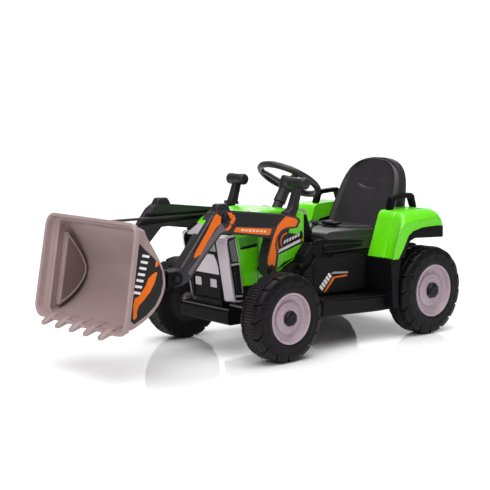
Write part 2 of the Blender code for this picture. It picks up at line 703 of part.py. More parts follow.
for side_name, side in SIDES:
    middle = side * (ARM_IN + ARM_OUT) / 2.0
    knob = loft([section(middle, half, (y0, z), (y1, z)) for z, y0, y1, half in KNOB_SECTIONS])
    groove = prism(ARM_GROOVE, side * (ARM_IN - 0.01), side * 0.1310)
    disc = lathe(DISC_PROFILE, 16, (side * ARM_OUT, -0.1328, 0.3836), (side, 0.0, 0.0))
    outline = ARM_TOP + (POST_REAR_LEFT if side > 0.0 else POST_REAR_RIGHT) + ARM_REST
    arm = fuse(prism(outline, side * ARM_IN, side * ARM_OUT, 0.003), knob, disc)
    arm = cut(
        arm, groove,
        rod((-0.2, *LIFT_YZ), (0.2, *LIFT_YZ), BORE_RADIUS),
        rod((-0.2, *TILT_YZ), (0.2, *TILT_YZ), BORE_RADIUS),
    )
    if side < 0.0:
        arm = cut(arm, prism(LEVER_POCKET, -0.100, -0.1310))
        arm = fuse(arm, rod((-0.1140, *LEVER_YZ), (-0.1330, *LEVER_YZ), 0.004, 10))
    node(f"loader_arm_{side_name}", arm, SATIN, 0.42, origin=(middle, *LIFT_YZ))


def t_handle(side, foot_z, foot_rear_z, foot_y0, foot_y1):
    """A tapered stem with a round cross grip on top."""
    middle = side * 0.130
    stem = loft([
        section(middle, 0.014, (foot_y0, foot_z), (foot_y1, foot_rear_z)),
        section(middle, 0.011, (0.112, 0.415), (0.137, 0.412)),
        section(middle, 0.010, (0.129, 0.462), (0.151, 0.462)),
    ])
    grip = lathe(
        [(-0.037, 0.0), (-0.037, 0.0135), (-0.033, 0.0165), (0.033, 0.0165), (0.037, 0.0135), (0.037, 0.0)],
        16, (middle, 0.140, 0.4675), (1.0, 0.0, 0.0),
    )
    return fuse(stem, grip)


node("lift_handle_left", t_handle(1.0, 0.3851, 0.3775, 0.088, 0.122), SATIN, 0.42)
lever = fuse(
    t_handle(-1.0, 0.4010, 0.3980, 0.100, 0.134),
    prism(
        [(0.072, 0.320), (0.079, 0.3125), (0.091, 0.3125), (0.098, 0.320), (0.115, 0.366),
         (0.132, 0.404), (0.104, 0.407), (0.090, 0.370)],
        -0.1305, -0.1245, 0.001,
    ),
)
lever = cut(
    lever,
    rod((-0.15, *LEVER_YZ), (-0.10, *LEVER_YZ), 0.0045, 10),
    rod((-0.15, *LEVER_PIN_YZ), (-0.10, *LEVER_PIN_YZ), 0.0045, 10),
)
node("tilt_lever_right", lever, SATIN, 0.42, origin=(-0.130, *LEVER_YZ))

rod_start = (ROD_X, ROD_FRONT_YZ[0] - 0.004, ROD_FRONT_YZ[1])
rod_end = (ROD_X, LEVER_PIN_YZ[0] + 0.004, LEVER_PIN_YZ[1])
tilt_rod = fuse(
    rod(rod_start, rod_end, 0.004, 10),
    rod((-0.1300, *LEVER_PIN_YZ), (ROD_X, *LEVER_PIN_YZ), 0.0040, 10),
    rod((ROD_X, *ROD_FRONT_YZ), (-0.1040, *ROD_FRONT_YZ), 0.0040, 10),
)
node("tilt_rod", tilt_rod, BLACK, 0.35, 0.5, origin=(ROD_X, *LEVER_PIN_YZ))

hinge_rod = rod((-0.1545, *TILT_YZ), (0.1545, *TILT_YZ), AXLE_RADIUS)
node("bucket_hinge_rod", hinge_rod, STEEL, 0.35, 1.0)

# ---------------------------------------------------------------- bucket

RIM_UP = Vector((0.0, 0.162, 0.987)).normalized()
RIM_BACK = Vector((0.0, 0.987, -0.162)).normalized()
RIM_FOOT = Vector((0.0, -0.5035, 0.1500))


def rim_outline(back, inset, floor):
    """The bucket mouth at this depth: a little wider at the foot, its corners cut back."""
    shape = (
        (0.1880, floor), (0.2060, floor + 0.010), (0.2125, floor + 0.032), (0.2105, 0.120), (0.2080, 0.230),
        (0.2040, 0.2450), (0.1920, 0.2535), (0.1720, 0.2550),
    )
    right = []
    for half, up in shape:
        lift = up - inset * (1.0 if up > 0.23 else 0.0)
        point = RIM_FOOT + RIM_UP * lift + RIM_BACK * back
        right.append(point + Vector((half - inset, 0.0, 0.0)))
    return right + [Vector((-p.x, p.y, p.z)) for p in reversed(right)]


SCOOP = (
    (-0.4500, 0.3800), (-0.4300, 0.3800), (-0.4180, 0.3600), (-0.3950, 0.3300), (-0.3760, 0.3000),
    (-0.3640, 0.2700), (-0.3620, 0.2450), (-0.3690, 0.2150), (-0.3880, 0.1850), (-0.4180, 0.1600),
    (-0.4600, 0.1400), (-0.4800, 0.1300),
)


def inner_scoop(gap):
    """The scoop's inside, this far in from its outline, open to the front."""
    middle = Vector((-0.455, 0.255))
    points = []
    for y, z in SCOOP[1:-1]:
        away = Vector((y, z)) - middle
        points.append(tuple(middle + away * (1.0 - gap / away.length)))
    first, last = points[0], points[-1]
    return [(-0.60, first[1])] + points + [(-0.60, last[1])]


bucket = fuse(
    loft([
        rim_outline(0.0, 0.0, -0.022), rim_outline(0.012, 0.0, -0.022),
        rim_outline(0.0125, 0.004, -0.018), rim_outline(0.044, 0.008, -0.014),
    ]),
    prism(SCOOP, -0.183, 0.183, 0.003),
)
bucket = cut(
    bucket,
    loft([
        rim_outline(-0.02, 0.010, -0.012), rim_outline(0.006, 0.012, -0.010),
        rim_outline(0.036, 0.018, -0.004),
    ]),
    prism(inner_scoop(0.006), -0.176, 0.176),
)
for k in range(5):
    x = (k - 2) * 0.066
    tooth = loft([
        section(x, 0.012, (-0.4800, 0.1340), (-0.4620, 0.1520), 0.010),
        section(x, 0.012, (-0.5000, 0.1260), (-0.4980, 0.1450), 0.010),
        section(x, 0.008, (-0.5265, 0.1150), (-0.5270, 0.1250), 0.006),
    ])
    bucket = fuse(bucket, tooth)

rod_lug = prism(
    [(-0.4350, 0.3780), (-0.4200, 0.3850), (-0.3930, 0.3850), (-0.3900, 0.3800), (-0.3900, 0.3560),
     (-0.4160, 0.3520)],
    -0.1135, -0.1075,
)
rod_lug = cut(rod_lug, rod((-0.15, *ROD_FRONT_YZ), (-0.09, *ROD_FRONT_YZ), 0.0075, 14))
node("bucket", fuse(bucket, rod_lug), PINK_GREY, 0.45, origin=(0.0, *TILT_YZ))

BRACKET_BASE = (
    (-0.3632, 0.2690), (-0.3613, 0.2450), (-0.3675, 0.2180), (-0.3310, 0.2180), (-0.3310, 0.2690),
)
BRACKET_LUG = (
    (-0.340, 0.222), (-0.340, 0.266), (-0.301, 0.264), (-0.289, 0.257), (-0.284, 0.246), (-0.289, 0.235),
    (-0.301, 0.228),
)
for side_name, side in SIDES:
    bracket = fuse(
        prism(BRACKET_BASE, side * 0.1065, side * 0.1535),
        prism(BRACKET_LUG, side * 0.1065, side * 0.1127),
        prism(BRACKET_LUG, side * 0.1473, side * 0.1535),
    )
    bracket = cut(bracket, rod((-0.2, *TILT_YZ), (0.2, *TILT_YZ), BORE_RADIUS))
    node(f"bucket_bracket_{side_name}", bracket, BLACK, 0.40, origin=(0.0, *TILT_YZ))
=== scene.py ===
"""Looks of the ride-on toy front loader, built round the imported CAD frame.

Metres, +Z up, the bucket towards -Y, the left side +X.
Shapes are drawn from the front axle (y = 0 there) and moved by AXLE_Y into the frame.
"""

import math

import bmesh
import bpy
from mathutils import Matrix, Vector


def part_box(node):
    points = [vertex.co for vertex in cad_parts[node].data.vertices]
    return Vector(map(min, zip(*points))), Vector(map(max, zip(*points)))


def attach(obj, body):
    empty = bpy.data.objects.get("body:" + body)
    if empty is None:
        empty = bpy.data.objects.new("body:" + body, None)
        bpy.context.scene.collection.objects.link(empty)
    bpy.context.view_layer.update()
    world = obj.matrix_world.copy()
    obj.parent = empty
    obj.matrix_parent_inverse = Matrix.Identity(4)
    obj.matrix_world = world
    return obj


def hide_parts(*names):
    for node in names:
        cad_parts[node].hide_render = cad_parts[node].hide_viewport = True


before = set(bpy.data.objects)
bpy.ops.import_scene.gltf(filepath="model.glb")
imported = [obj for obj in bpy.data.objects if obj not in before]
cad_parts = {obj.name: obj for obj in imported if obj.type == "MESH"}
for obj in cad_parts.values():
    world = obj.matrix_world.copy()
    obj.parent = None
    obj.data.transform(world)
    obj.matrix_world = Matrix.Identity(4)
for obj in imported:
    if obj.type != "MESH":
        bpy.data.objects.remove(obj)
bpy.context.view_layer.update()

low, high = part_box("tyre_front_left")
AXLE_Y = (low.y + high.y) / 2.0
SIDES = (("left", 1.0), ("right", -1.0))
LIFT = (0.027, 0.235)
TILT = (-0.303, 0.246)


# ---------------------------------------------------------------- materials

def add_node(tree, kind, **values):
    """A shader node with these inputs set."""
    found = tree.nodes.new("ShaderNode" + kind)
    for key, value in values.items():
        found.inputs[key.replace("_", " ")].default_value = value
    return found


def noise(tree, scale, detail=3.0, stretch=(1.0, 1.0, 1.0)):
    """A noise texture in object space, its pattern this many times to the metre."""
    place = tree.nodes.new("ShaderNodeTexCoord")
    mapping = add_node(tree, "Mapping", Scale=stretch)
    tree.links.new(place.outputs["Object"], mapping.inputs["Vector"])
    texture = add_node(tree, "TexNoise", Scale=scale, Detail=detail)
    tree.links.new(mapping.outputs["Vector"], texture.inputs["Vector"])
    return texture.outputs["Fac"]


def remap(tree, value, low_in, high_in, low_out, high_out):
    """The value stretched from one range to another, and held inside it."""
    found = add_node(tree, "MapRange", From_Min=low_in, From_Max=high_in, To_Min=low_out, To_Max=high_out)
    tree.links.new(value, found.inputs["Value"])
    return found.outputs["Result"]


def mixed(tree, share, first, second):
    """A colour between two, either of them a colour or another node's output."""
    found = tree.nodes.new("ShaderNodeMix")
    found.data_type = "RGBA"
    sockets = [s for s in found.inputs if s.type == "RGBA"]
    for socket, value in zip(sockets, (first, second)):
        if isinstance(value, bpy.types.NodeSocket):
            tree.links.new(value, socket)
        else:
            socket.default_value = (*value, 1.0)
    tree.links.new(share, found.inputs["Factor"])
    return next(s for s in found.outputs if s.type == "RGBA")


def scaled(colour, share):
    """The colour made lighter or darker."""
    return tuple(min(1.0, c * share) for c in colour)


def moulded(name, colour, rough=0.4, grain=900.0, depth=0.12, vary=0.1, wear=0.25, metallic=0.0, coat=0.0,
            scuff=(1.0, 1.0, 1.0), see_through=0.0, specular=0.5, smudge=1.0):
    """Moulded plastic or metal: mottled colour, fine grain, uneven gloss and paler worn edges."""
    mat = bpy.data.materials.new(name)
    mat.use_nodes = True
    mat.diffuse_color = (*colour, 1.0)
    tree = mat.node_tree
    shader = tree.nodes["Principled BSDF"]
    broad = remap(tree, noise(tree, 11.0, 4.0), 0.35, 0.65, 0.0, 1.0)
    fine = remap(tree, noise(tree, 260.0, 2.0), 0.3, 0.7, 0.0, 1.0)
    base = mixed(tree, broad, scaled(colour, 1.0 - vary), scaled(colour, 1.0 + vary))
    base = mixed(tree, remap(tree, fine, 0.0, 1.0, 0.0, 0.35), base, scaled(colour, 1.0 - 0.6 * vary))
    point = tree.nodes.new("ShaderNodeNewGeometry").outputs["Pointiness"]
    edge = remap(tree, point, 0.52, 0.62, 0.0, wear)
    pale = tuple(c + (0.75 - c) * 0.35 * min(1.0, 0.25 + 3.0 * max(colour)) for c in colour)
    base = mixed(tree, edge, base, pale)
    tree.links.new(base, shader.inputs["Base Color"])
    gloss = noise(tree, 38.0, 5.0, scuff)
    gloss = remap(tree, gloss, 0.3, 0.7, max(0.03, rough - 0.07 * smudge), rough + 0.09 * smudge)
    tree.links.new(gloss, shader.inputs["Roughness"])
    shader.inputs["Metallic"].default_value = metallic
    shader.inputs["Specular IOR Level"].default_value = specular
    shader.inputs["Coat Weight"].default_value = coat
    shader.inputs["Coat Roughness"].default_value = 0.12
    if see_through:
        shader.inputs["Subsurface Weight"].default_value = see_through
        shader.inputs["Subsurface Radius"].default_value = (1.0, 0.7, 0.6)
        shader.inputs["Subsurface Scale"].default_value = 0.008
    bump = add_node(tree, "Bump", Strength=depth, Distance=0.0006)
    tree.links.new(noise(tree, grain, 2.0), bump.inputs["Height"])
    tree.links.new(bump.outputs["Normal"], shader.inputs["Normal"])
    return mat


WEAVE_PITCH = 0.0016


def woven(name, colour):
    """Flat webbing: a diagonal weave of ridges."""
    mat = moulded(name, colour, 0.72, 500.0, 0.2, 0.2, 0.0)
    tree = mat.node_tree
    shader = tree.nodes["Principled BSDF"]
    place = tree.nodes.new("ShaderNodeTexCoord")
    heights = []
    for turn in (0.6, -0.6):
        mapping = add_node(tree, "Mapping", Rotation=(0.0, 0.0, turn))
        tree.links.new(place.outputs["Object"], mapping.inputs["Vector"])
        wave = add_node(tree, "TexWave", Scale=1.0 / WEAVE_PITCH / 6.28)
        tree.links.new(mapping.outputs["Vector"], wave.inputs["Vector"])
        heights.append(wave.outputs["Fac"])
    product = tree.nodes.new("ShaderNodeMath")
    product.operation = "MULTIPLY"
    tree.links.new(heights[0], product.inputs[0])
    tree.links.new(heights[1], product.inputs[1])
    bump = add_node(tree, "Bump", Strength=0.7, Distance=0.0008)
    tree.links.new(product.outputs[0], bump.inputs["Height"])
    tree.links.new(bump.outputs["Normal"], shader.inputs["Normal"])
    return mat


# name, colour, roughness, grain to the metre, depth of the grain, how mottled, how worn
GREEN = moulded("green_body", (0.112, 0.6, 0.003), 0.26, 700.0, 0.01, 0.06, 0.04, coat=0.2, specular=0.35,
                smudge=0.4)
# A darker copy of the body green: painted shade, on the hood side under the arm's beam and along the grille's
# rim.
GREEN_SHADE = moulded("green_painted_shade", (0.045, 0.26, 0.008), 0.34, 700.0, 0.05, 0.1, 0.04, specular=0.3)
BLACK = moulded("black_body", (0.0034, 0.0029, 0.0036), 0.36, 1100.0, 0.22, 0.25, 0.1, specular=0.07)
# Satin black of the loader arms and handles; on the tyres' tread ribs its paler tone is a painted highlight.
SATIN_AND_HIGHLIGHT = moulded("satin_loader_and_rib_highlight", (0.014, 0.0108, 0.0135), 0.36, 1000.0, 0.15, 0.15, 0.15, specular=0.28)
SEAT_BLACK = moulded("satin_seat", (0.0135, 0.011, 0.0135), 0.42, 800.0, 0.3, 0.18, 0.15, specular=0.4)
TYRE_BLACK = moulded("tyre_black", (0.0055, 0.0046, 0.0055), 0.38, 900.0, 0.25, 0.25, 0.18, specular=0.12)
GLOSS_BLACK = moulded("gloss_black", (0.005, 0.0045, 0.0055), 0.26, 900.0, 0.05, 0.2, 0.1, specular=0.18)
PIT_BLACK = moulded("recess_black", (0.003, 0.0028, 0.0034), 0.6, 700.0, 0.2, 0.3, 0.0, specular=0.15)
RIM_GREY = moulded("rim_grey", (0.36, 0.272, 0.312), 0.36, 800.0, 0.08, 0.05, 0.1)
BUCKET_GREY = moulded("bucket_grey", (0.29, 0.205, 0.205), 0.4, 650.0, 0.12, 0.06, 0.15, see_through=0.15)
TRIM = moulded("silver_trim", (0.48, 0.43, 0.46), 0.3, 1400.0, 0.006, 0.03, 0.02, smudge=0.25,
               metallic=0.35, coat=0.3)
LAMP = moulded("lamp_grey", (0.46, 0.4, 0.43), 0.22, 420.0, 0.3, 0.1, 0.2, coat=0.5)
LENS = moulded("dark_lens", (0.016, 0.016, 0.02), 0.09, 300.0, 0.05, 0.25, 0.0, coat=0.8)
# A darker copy of the bucket grey: painted shade on the D panel inside each end of the bucket.
BUCKET_SHADE = moulded("bucket_painted_shade", (0.17, 0.112, 0.11), 0.45, 900.0, 0.08, 0.08, 0.1, specular=0.2)
# Purple-grey for small grey parts (brow ribs, dash dots, belt press, an arm print), also laid as painted
# highlight lines along the bumper's top edge and the arms' edges.
GREY_AND_HIGHLIGHT = moulded("grey_and_painted_highlight", (0.07, 0.058, 0.068), 0.38, 900.0, 0.15, 0.12, 0.3)
STEEL = moulded("steel", (0.48, 0.475, 0.48), 0.3, 1200.0, 0.08, 0.1, 0.2, metallic=1.0,
                scuff=(1.0, 12.0, 12.0))
DARK_STEEL = moulded("painted_steel", (0.06, 0.058, 0.062), 0.38, 800.0, 0.15, 0.2, 0.4, metallic=0.5)
CASE_BLUE = moulded("battery_case", (0.04, 0.055, 0.11), 0.45, 900.0, 0.2, 0.15)
CASE_GREY = moulded("gearbox_case", (0.1, 0.098, 0.105), 0.5, 900.0, 0.3, 0.15)
RED = moulded("red_button", (0.48, 0.02, 0.016), 0.3, 900.0, 0.05, coat=0.4)
ORANGE = moulded("orange_print", (0.7, 0.125, 0.0), 0.4, 500.0, 0.05, 0.06, 0.05, specular=0.15)
CREAM = moulded("pale_print", (0.76, 0.48, 0.3), 0.35, 500.0, 0.05, 0.08, 0.1)
WHITE = moulded("white_print", (0.72, 0.69, 0.7), 0.33, 500.0, 0.05, 0.06, 0.1, coat=0.3)
BLACK_PRINT = moulded("black_print", (0.004, 0.0036, 0.0042), 0.32, 500.0, 0.05, 0.2, 0.05, specular=0.25)
GREY_PRINT = moulded("grey_print", (0.26, 0.24, 0.25), 0.34, 500.0, 0.05, 0.1, 0.1)
WEBBING = woven("belt_webbing", (0.022, 0.021, 0.024))


# ---------------------------------------------------------------- mesh tools

def catmull(points, per_span):
    """A smooth curve through these points, this many steps to each span."""
    points = [Vector(p) for p in points]
    ends = [points[0] * 2.0 - points[1]] + points + [points[-1] * 2.0 - points[-2]]
    curve = []
    for a, b, c, d in zip(ends, ends[1:], ends[2:], ends[3:]):
        for k in range(per_span):
            t = k / per_span
            curve.append(0.5 * (2.0 * b + (c - a) * t + (2.0 * a - 5.0 * b + 4.0 * c - d) * t * t
                                + (3.0 * b - a - 3.0 * c + d) * t ** 3))
    curve.append(points[-1])
    return curve


def resampled(points, count):
    """The same line with this many points, evenly spaced along it."""
    points = [Vector(p) for p in points]
    lengths = [0.0]
    for a, b in zip(points, points[1:]):
        lengths.append(lengths[-1] + (b - a).length)
    found = []
    for k in range(count):
        at = lengths[-1] * k / (count - 1)
        i = 0
        while i < len(points) - 2 and lengths[i + 1] < at:
            i += 1
        span = lengths[i + 1] - lengths[i]
        found.append(points[i].lerp(points[i + 1], (at - lengths[i]) / span if span else 0.0))
    return found


def rounded(outline, radius, steps=4):
    """A closed outline with each corner rounded, by less where its sides are short."""
    points = [Vector(p) for p in outline]
    found = []
    for i, point in enumerate(points):
        before = points[i - 1] - point
        after = points[(i + 1) % len(points)] - point
        angle = before.angle(after)
        reach = min(radius / max(math.tan(angle / 2.0), 0.05), 0.45 * before.length, 0.45 * after.length)
        start = point + before.normalized() * reach
        end = point + after.normalized() * reach
        for k in range(steps + 1):
            t = k / steps
            found.append((start * (1.0 - t) + point * t) * (1.0 - t) + (point * (1.0 - t) + end * t) * t)
    return [tuple(p) for p in found]


def prism(outline, x0, x1, sink=0.0, border=0.004):
    """A side outline drawn from x0 to x1. Its x1 face can be sunk inside a border."""
    bm = loft([[(x, p[0], p[1]) for p in outline] for x in (x0, x1)])
    if sink:
        bm.faces.ensure_lookup_table()
        cap = bm.faces[1]
        bmesh.ops.inset_region(bm, faces=[cap], thickness=border, depth=0.0, use_even_offset=False)
        bmesh.ops.inset_region(bm, faces=[cap], thickness=sink * 0.6, depth=-sink, use_even_offset=False)
    return bm


def slab(outline, radius, x0, x1, sink=0.0, border=0.004, steps=4):
    """A prism whose outline has rounded corners."""
    return prism(rounded(outline, radius, steps), x0, x1, sink, border)


def rectangle(low_a, high_a, low_b, high_b):
    """The four corners of a rectangle, from two spans."""
    return [(low_a, low_b), (high_a, low_b), (high_a, high_b), (low_a, high_b)]


def block(x0, x1, y0, y1, z0, z1):
    """A plain box."""
    return prism(rectangle(y0, y1, z0, z1), x0, x1)


def loft(sections, closed=False):
    """Closed sections of equal counts, joined in order; capped unless the last meets the first."""
    bm = bmesh.new()
    rows = [[bm.verts.new(p) for p in section] for section in sections]
    if not closed:
        bm.faces.new(rows[0])
        bm.faces.new(rows[-1])
    count = len(rows[0])
    for row, following in zip(rows, rows[1:] + (rows[:1] if closed else [])):
        for i in range(count):
            j = (i + 1) % count
            bm.faces.new((row[i], row[j], following[j], following[i]))
    bmesh.ops.recalc_face_normals(bm, faces=bm.faces)
    return bm


def angles_round(count, first=0.0):
    """This many angles, evenly spaced round a circle."""
    return [2.0 * math.pi * (k + first) / count for k in range(count)]


def lathe(profile, steps, centre, axis):
    """Turns a profile of (along the axis, radius) points round the axis; radius 0 makes a pole."""
    bm = bmesh.new()
    turn = Vector((0.0, 0.0, 1.0)).rotation_difference(Vector(axis)).to_matrix().to_4x4()
    place = Matrix.Translation(centre) @ turn
    rows = []
    for along, radius in profile:
        angles = angles_round(steps, 0.5)[:1 if radius < 1e-6 else steps]
        rows.append([bm.verts.new(place @ Vector((radius * math.cos(angle), radius * math.sin(angle),
                                                  along))) for angle in angles])
    for row, following in zip(rows, rows[1:] + rows[:1]):
        if len(row) == 1 and len(following) == 1:
            continue
        for k in range(steps):
            m = (k + 1) % steps
            corners = [row[k % len(row)], row[m % len(row)], following[m % len(following)],
                       following[k % len(following)]]
            bm.faces.new(list(dict.fromkeys(corners)))
    bmesh.ops.recalc_face_normals(bm, faces=bm.faces)
    return bm


def rod(start, end, radius, edge=0.0008):
    """A round bar between two points, its ends broken by this edge."""
    start = Vector(start)
    along = Vector(end) - start
    length = along.length
    profile = [(0.0, 0.0), (0.0, radius - edge), (edge, radius), (length - edge, radius),
               (length, radius - edge), (length, 0.0)]
    return lathe(profile, 24, start, along.normalized())


def tube(path, radius, steps=12):
    """A round bar along a path, its ends capped. The radius is one for all, or a list."""
    path = [Vector(p) for p in path]
    sections = []
    side = None
    for i, point in enumerate(path):
        along = (path[min(i + 1, len(path) - 1)] - path[max(i - 1, 0)]).normalized()
        if side is None:
            side = along.orthogonal().normalized()
        side = (side - along * side.dot(along)).normalized()
        across = along.cross(side)
        size = radius[i] if isinstance(radius, (list, tuple)) else radius
        sections.append([point + side * math.cos(angle) * size + across * math.sin(angle) * size
                         for angle in angles_round(steps)])
    return loft(sections)


def mesh_from(bm, name):
    """A mesh made from this BMesh, which is freed."""
    mesh = bpy.data.meshes.new(name)
    bm.to_mesh(mesh)
    bm.free()
    return mesh


def placed(name, data):
    """A new object in the scene that holds this data."""
    obj = bpy.data.objects.new(name, data)
    bpy.context.scene.collection.objects.link(obj)
    return obj


def pooled(*meshes):
    """Several meshes as one."""
    whole = bmesh.new()
    for bm in meshes:
        mesh = mesh_from(bm, "pool")
        whole.from_mesh(mesh)
        bpy.data.meshes.remove(mesh)
    return whole


def piece(name, bm, material, body="chassis", replaces=(), bevel=0.0, segments=3, smooth=38.0):
    """Adds the mesh as a named piece that rides on a CAD body."""
    bmesh.ops.translate(bm, verts=bm.verts, vec=(0.0, AXLE_Y, 0.0))
    mesh = mesh_from(bm, name)
    obj = placed(name, mesh)
    mesh.materials.append(material)
    mesh.shade_smooth()
    mesh.set_sharp_from_angle(angle=math.radians(smooth))
    if bevel:
        modifier = obj.modifiers.new("edges", "BEVEL")
        modifier.width = bevel
        modifier.segments = segments
        modifier.limit_method = "ANGLE"
        modifier.angle_limit = math.radians(smooth - 3.0)
        modifier.use_clamp_overlap = True
        modifier.harden_normals = True
    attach(obj, body)
    if replaces:
        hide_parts(*replaces)


def printed(name, bm, material, body="chassis", bevel=0.0001):
    """A thin print, its edge barely broken."""
    piece(name, bm, material, body, bevel=bevel, segments=1)


def smoothstep(low_end, high_end, value):
    """0 at the low end, 1 at the high end and eased between; the ends may be given in either order."""
    t = min(1.0, max(0.0, (value - low_end) / (high_end - low_end)))
    return t * t * (3.0 - 2.0 * t)


# ---------------------------------------------------------------- wheels

TYRE_WIDTH = 0.08
LUGS = 16
LUG_HEIGHT = 0.0064
LUG_HOOK = 0.0026
GUARD_HOLE = 0.038
GUARD_RADIUS = 0.0735
LUG_STEPS = (0.0, 0.03, 0.055, 0.08, 0.11, 0.16, 0.25, 0.34, 0.39, 0.42, 0.445, 0.47, 0.5, 0.53, 0.555,
             0.58, 0.61, 0.66, 0.75, 0.84, 0.89, 0.92, 0.945, 0.97)


def on_wheel(wheel, depth, reach, angle):
    """A point this deep behind the wheel's outer face and this far from its axis."""
    side, face_x, centre_y, radius = wheel
    return (side * (face_x - depth), centre_y + reach * math.sin(angle), radius + reach * math.cos(angle))


def tyre(wheel, rim_radius):
    """A blow-moulded tyre: smooth sidewalls and two staggered rows of pillow lugs.

    The lugs of the outer row stand a little proud of the sidewall.
    """
    radius = wheel[3]
    floor = radius - LUG_HEIGHT
    bead = rim_radius - 0.0015
    wall = floor - bead
    # depth in from the outer face, radius, lug height share, twist of the row in lugs
    half = (
        (0.005, bead, 0.0, 0.0),
        (0.001, bead + 0.001, 0.0, 0.0),
        (0.0, bead + 0.004, 0.0, 0.0),
        (0.0003, bead + wall * 0.35, 0.0, 0.0),
        (0.0012, bead + wall * 0.52, 0.0, 0.0),
        (0.0022, bead + wall * 0.6, 0.25, 0.3),
        (0.0042, bead + wall * 0.72, 0.45, 0.26),
        (0.007, floor - 0.0062, 0.8, 0.18),
        (0.01, floor - 0.003, 0.97, 0.08),
        (0.0135, floor - 0.0008, 1.0, 0.02),
        (0.018, floor, 1.0, 0.0),
        (0.0225, floor + 0.0002, 1.0, 0.0),
        (0.0262, floor + 0.0004, 0.97, 0.0),
        (0.028, floor + 0.0005, 0.72, 0.0),
        (0.029, floor + 0.0006, 0.12, 0.0),
        (0.0296, floor - 0.0006, 0.0, 0.0),
    )
    profile = [(*row, 0.0) for row in half]
    profile += [(TYRE_WIDTH - 0.65 * row[0], *row[1:], 0.5) for row in reversed(half)]
    sections = []
    for depth, out, lug, twist, stagger in profile:
        ring = []
        for lug_number in range(LUGS):
            for step in LUG_STEPS:
                off = abs(((step + stagger) % 1.0) - 0.5) * 2.0
                pillow = smoothstep(0.05, 0.22, 1.0 - off) * (1.0 - 0.2 * off * off)
                reach = min(out + lug * pillow * (radius - floor), radius - 0.0001)
                proud = LUG_HOOK * pillow if stagger == 0.0 and 0.002 < depth < 0.011 else 0.0
                angle = 2.0 * math.pi * (lug_number + step + twist) / LUGS
                ring.append(on_wheel(wheel, depth - proud, reach, angle))
        sections.append(ring)
    return loft(sections, closed=True)


def tread_belt(wheel, teeth):
    """The ribbed band round the middle of the tread, like a toothed belt."""
    inner = wheel[3] - 0.01
    sections = []
    for depth, lift in ((0.0304, 0.0), (0.0306, 0.8), (0.0314, 1.0), (0.0588, 1.0), (0.0596, 0.8),
                        (0.0598, 0.0)):
        ring = []
        for k in range(teeth * 4):
            reach = inner + lift * (0.0068 if k % 4 in (1, 2) else 0.0064)
            angle = 2.0 * math.pi * (k + (0.2 if k % 2 else -0.2)) / (teeth * 4)
            ring.append(on_wheel(wheel, depth, reach, angle))
        sections.append(ring)
    return loft(sections, closed=True)


def tread_ribs(wheel, count):
    """The cross ribs that stand on the belt."""
    low, high, half = wheel[3] - 0.004, wheel[3] - 0.0004, 0.3 * math.pi / count
    bm = bmesh.new()
    for k in range(count):
        rings = []
        for depth, top in ((0.0308, high - 0.0012), (0.0322, high), (0.0578, high),
                           (0.0592, high - 0.0012)):
            ring = []
            for reach, turn in ((low, -1.25), (top, -0.8), (top, 0.8), (low, 1.25)):
                angle = 2.0 * math.pi * k / count + half * turn
                ring.append(bm.verts.new(on_wheel(wheel, depth, reach, angle)))
            rings.append(ring)
        for a, b in zip(rings, rings[1:]):
            for i in range(4):
                bm.faces.new((a[i], a[(i + 1) % 4], b[(i + 1) % 4], b[i]))
        bm.faces.new(rings[0])
        bm.faces.new(rings[-1])
    bmesh.ops.recalc_face_normals(bm, faces=bm.faces)
    return bm


def rim(wheel, rim_radius):
    """A dished disc with a bright lip, two steps, a ring of bumps and a hub."""
    side, face_x, centre_y, height = wheel
    edge = rim_radius - 0.0023
    profile = [
        (-0.006, edge), (-0.002, edge), (-0.0004, edge - 0.001), (0.0, edge - 0.0026), (-0.0008,
                edge - 0.0046),
        (-0.0045, edge - 0.0062), (-0.012, edge - 0.0078), (-0.0162, edge - 0.01), (-0.0178, edge - 0.014),
        (-0.0182, edge * 0.665), (-0.0174, edge * 0.64), (-0.014, edge * 0.622), (-0.0132, edge * 0.6),
        (-0.0136, edge * 0.49), (-0.0128, edge * 0.462), (-0.01, edge * 0.44), (-0.0094, edge * 0.415),
        (-0.01, edge * 0.35), (-0.0102, 0.019), (-0.0102, 0.007), (-0.066, 0.007), (-0.066, 0.016),
        (-0.028, 0.02), (-0.028, edge - 0.012), (-0.066, edge - 0.004), (-0.066, edge),
    ]
    centre = (side * face_x, centre_y, height)
    axis = (side, 0.0, 0.0)
    parts = [lathe(profile, 96, centre, axis)]
    bump = [(0.0, 0.0), (0.0, 0.0034), (0.0016, 0.003), (0.0024, 0.0018), (0.0026, 0.0)]
    parts += [lathe(bump, 16, on_wheel(wheel, 0.0146, edge * 0.54, angle), axis)
              for angle in angles_round(8, 0.5)]
    for angle in angles_round(24):
        out = Vector((0.0, math.sin(angle), math.cos(angle)))
        foot = Vector((side * (face_x - 0.0176), centre_y, height))
        parts.append(tube([foot + out * reach for reach in (edge * 0.68, edge * 0.74, edge - 0.0185)],
                          0.0009, 6))
    return pooled(*parts)


def cap(wheel, rim_radius):
    """An eight-sided cap with a flat crown and a sunk middle."""
    side, face_x, centre_y, height = wheel
    wide = rim_radius * 0.3
    profile = [(-0.0097, 0.0), (-0.0097, wide), (-0.003, wide), (0.0018, wide * 0.86),
               (0.0036, wide * 0.62), (0.0036, wide * 0.34), (0.002, wide * 0.28), (0.002, 0.0)]
    return lathe(profile, 8, (side * face_x, centre_y, height), (side, 0.0, 0.0))


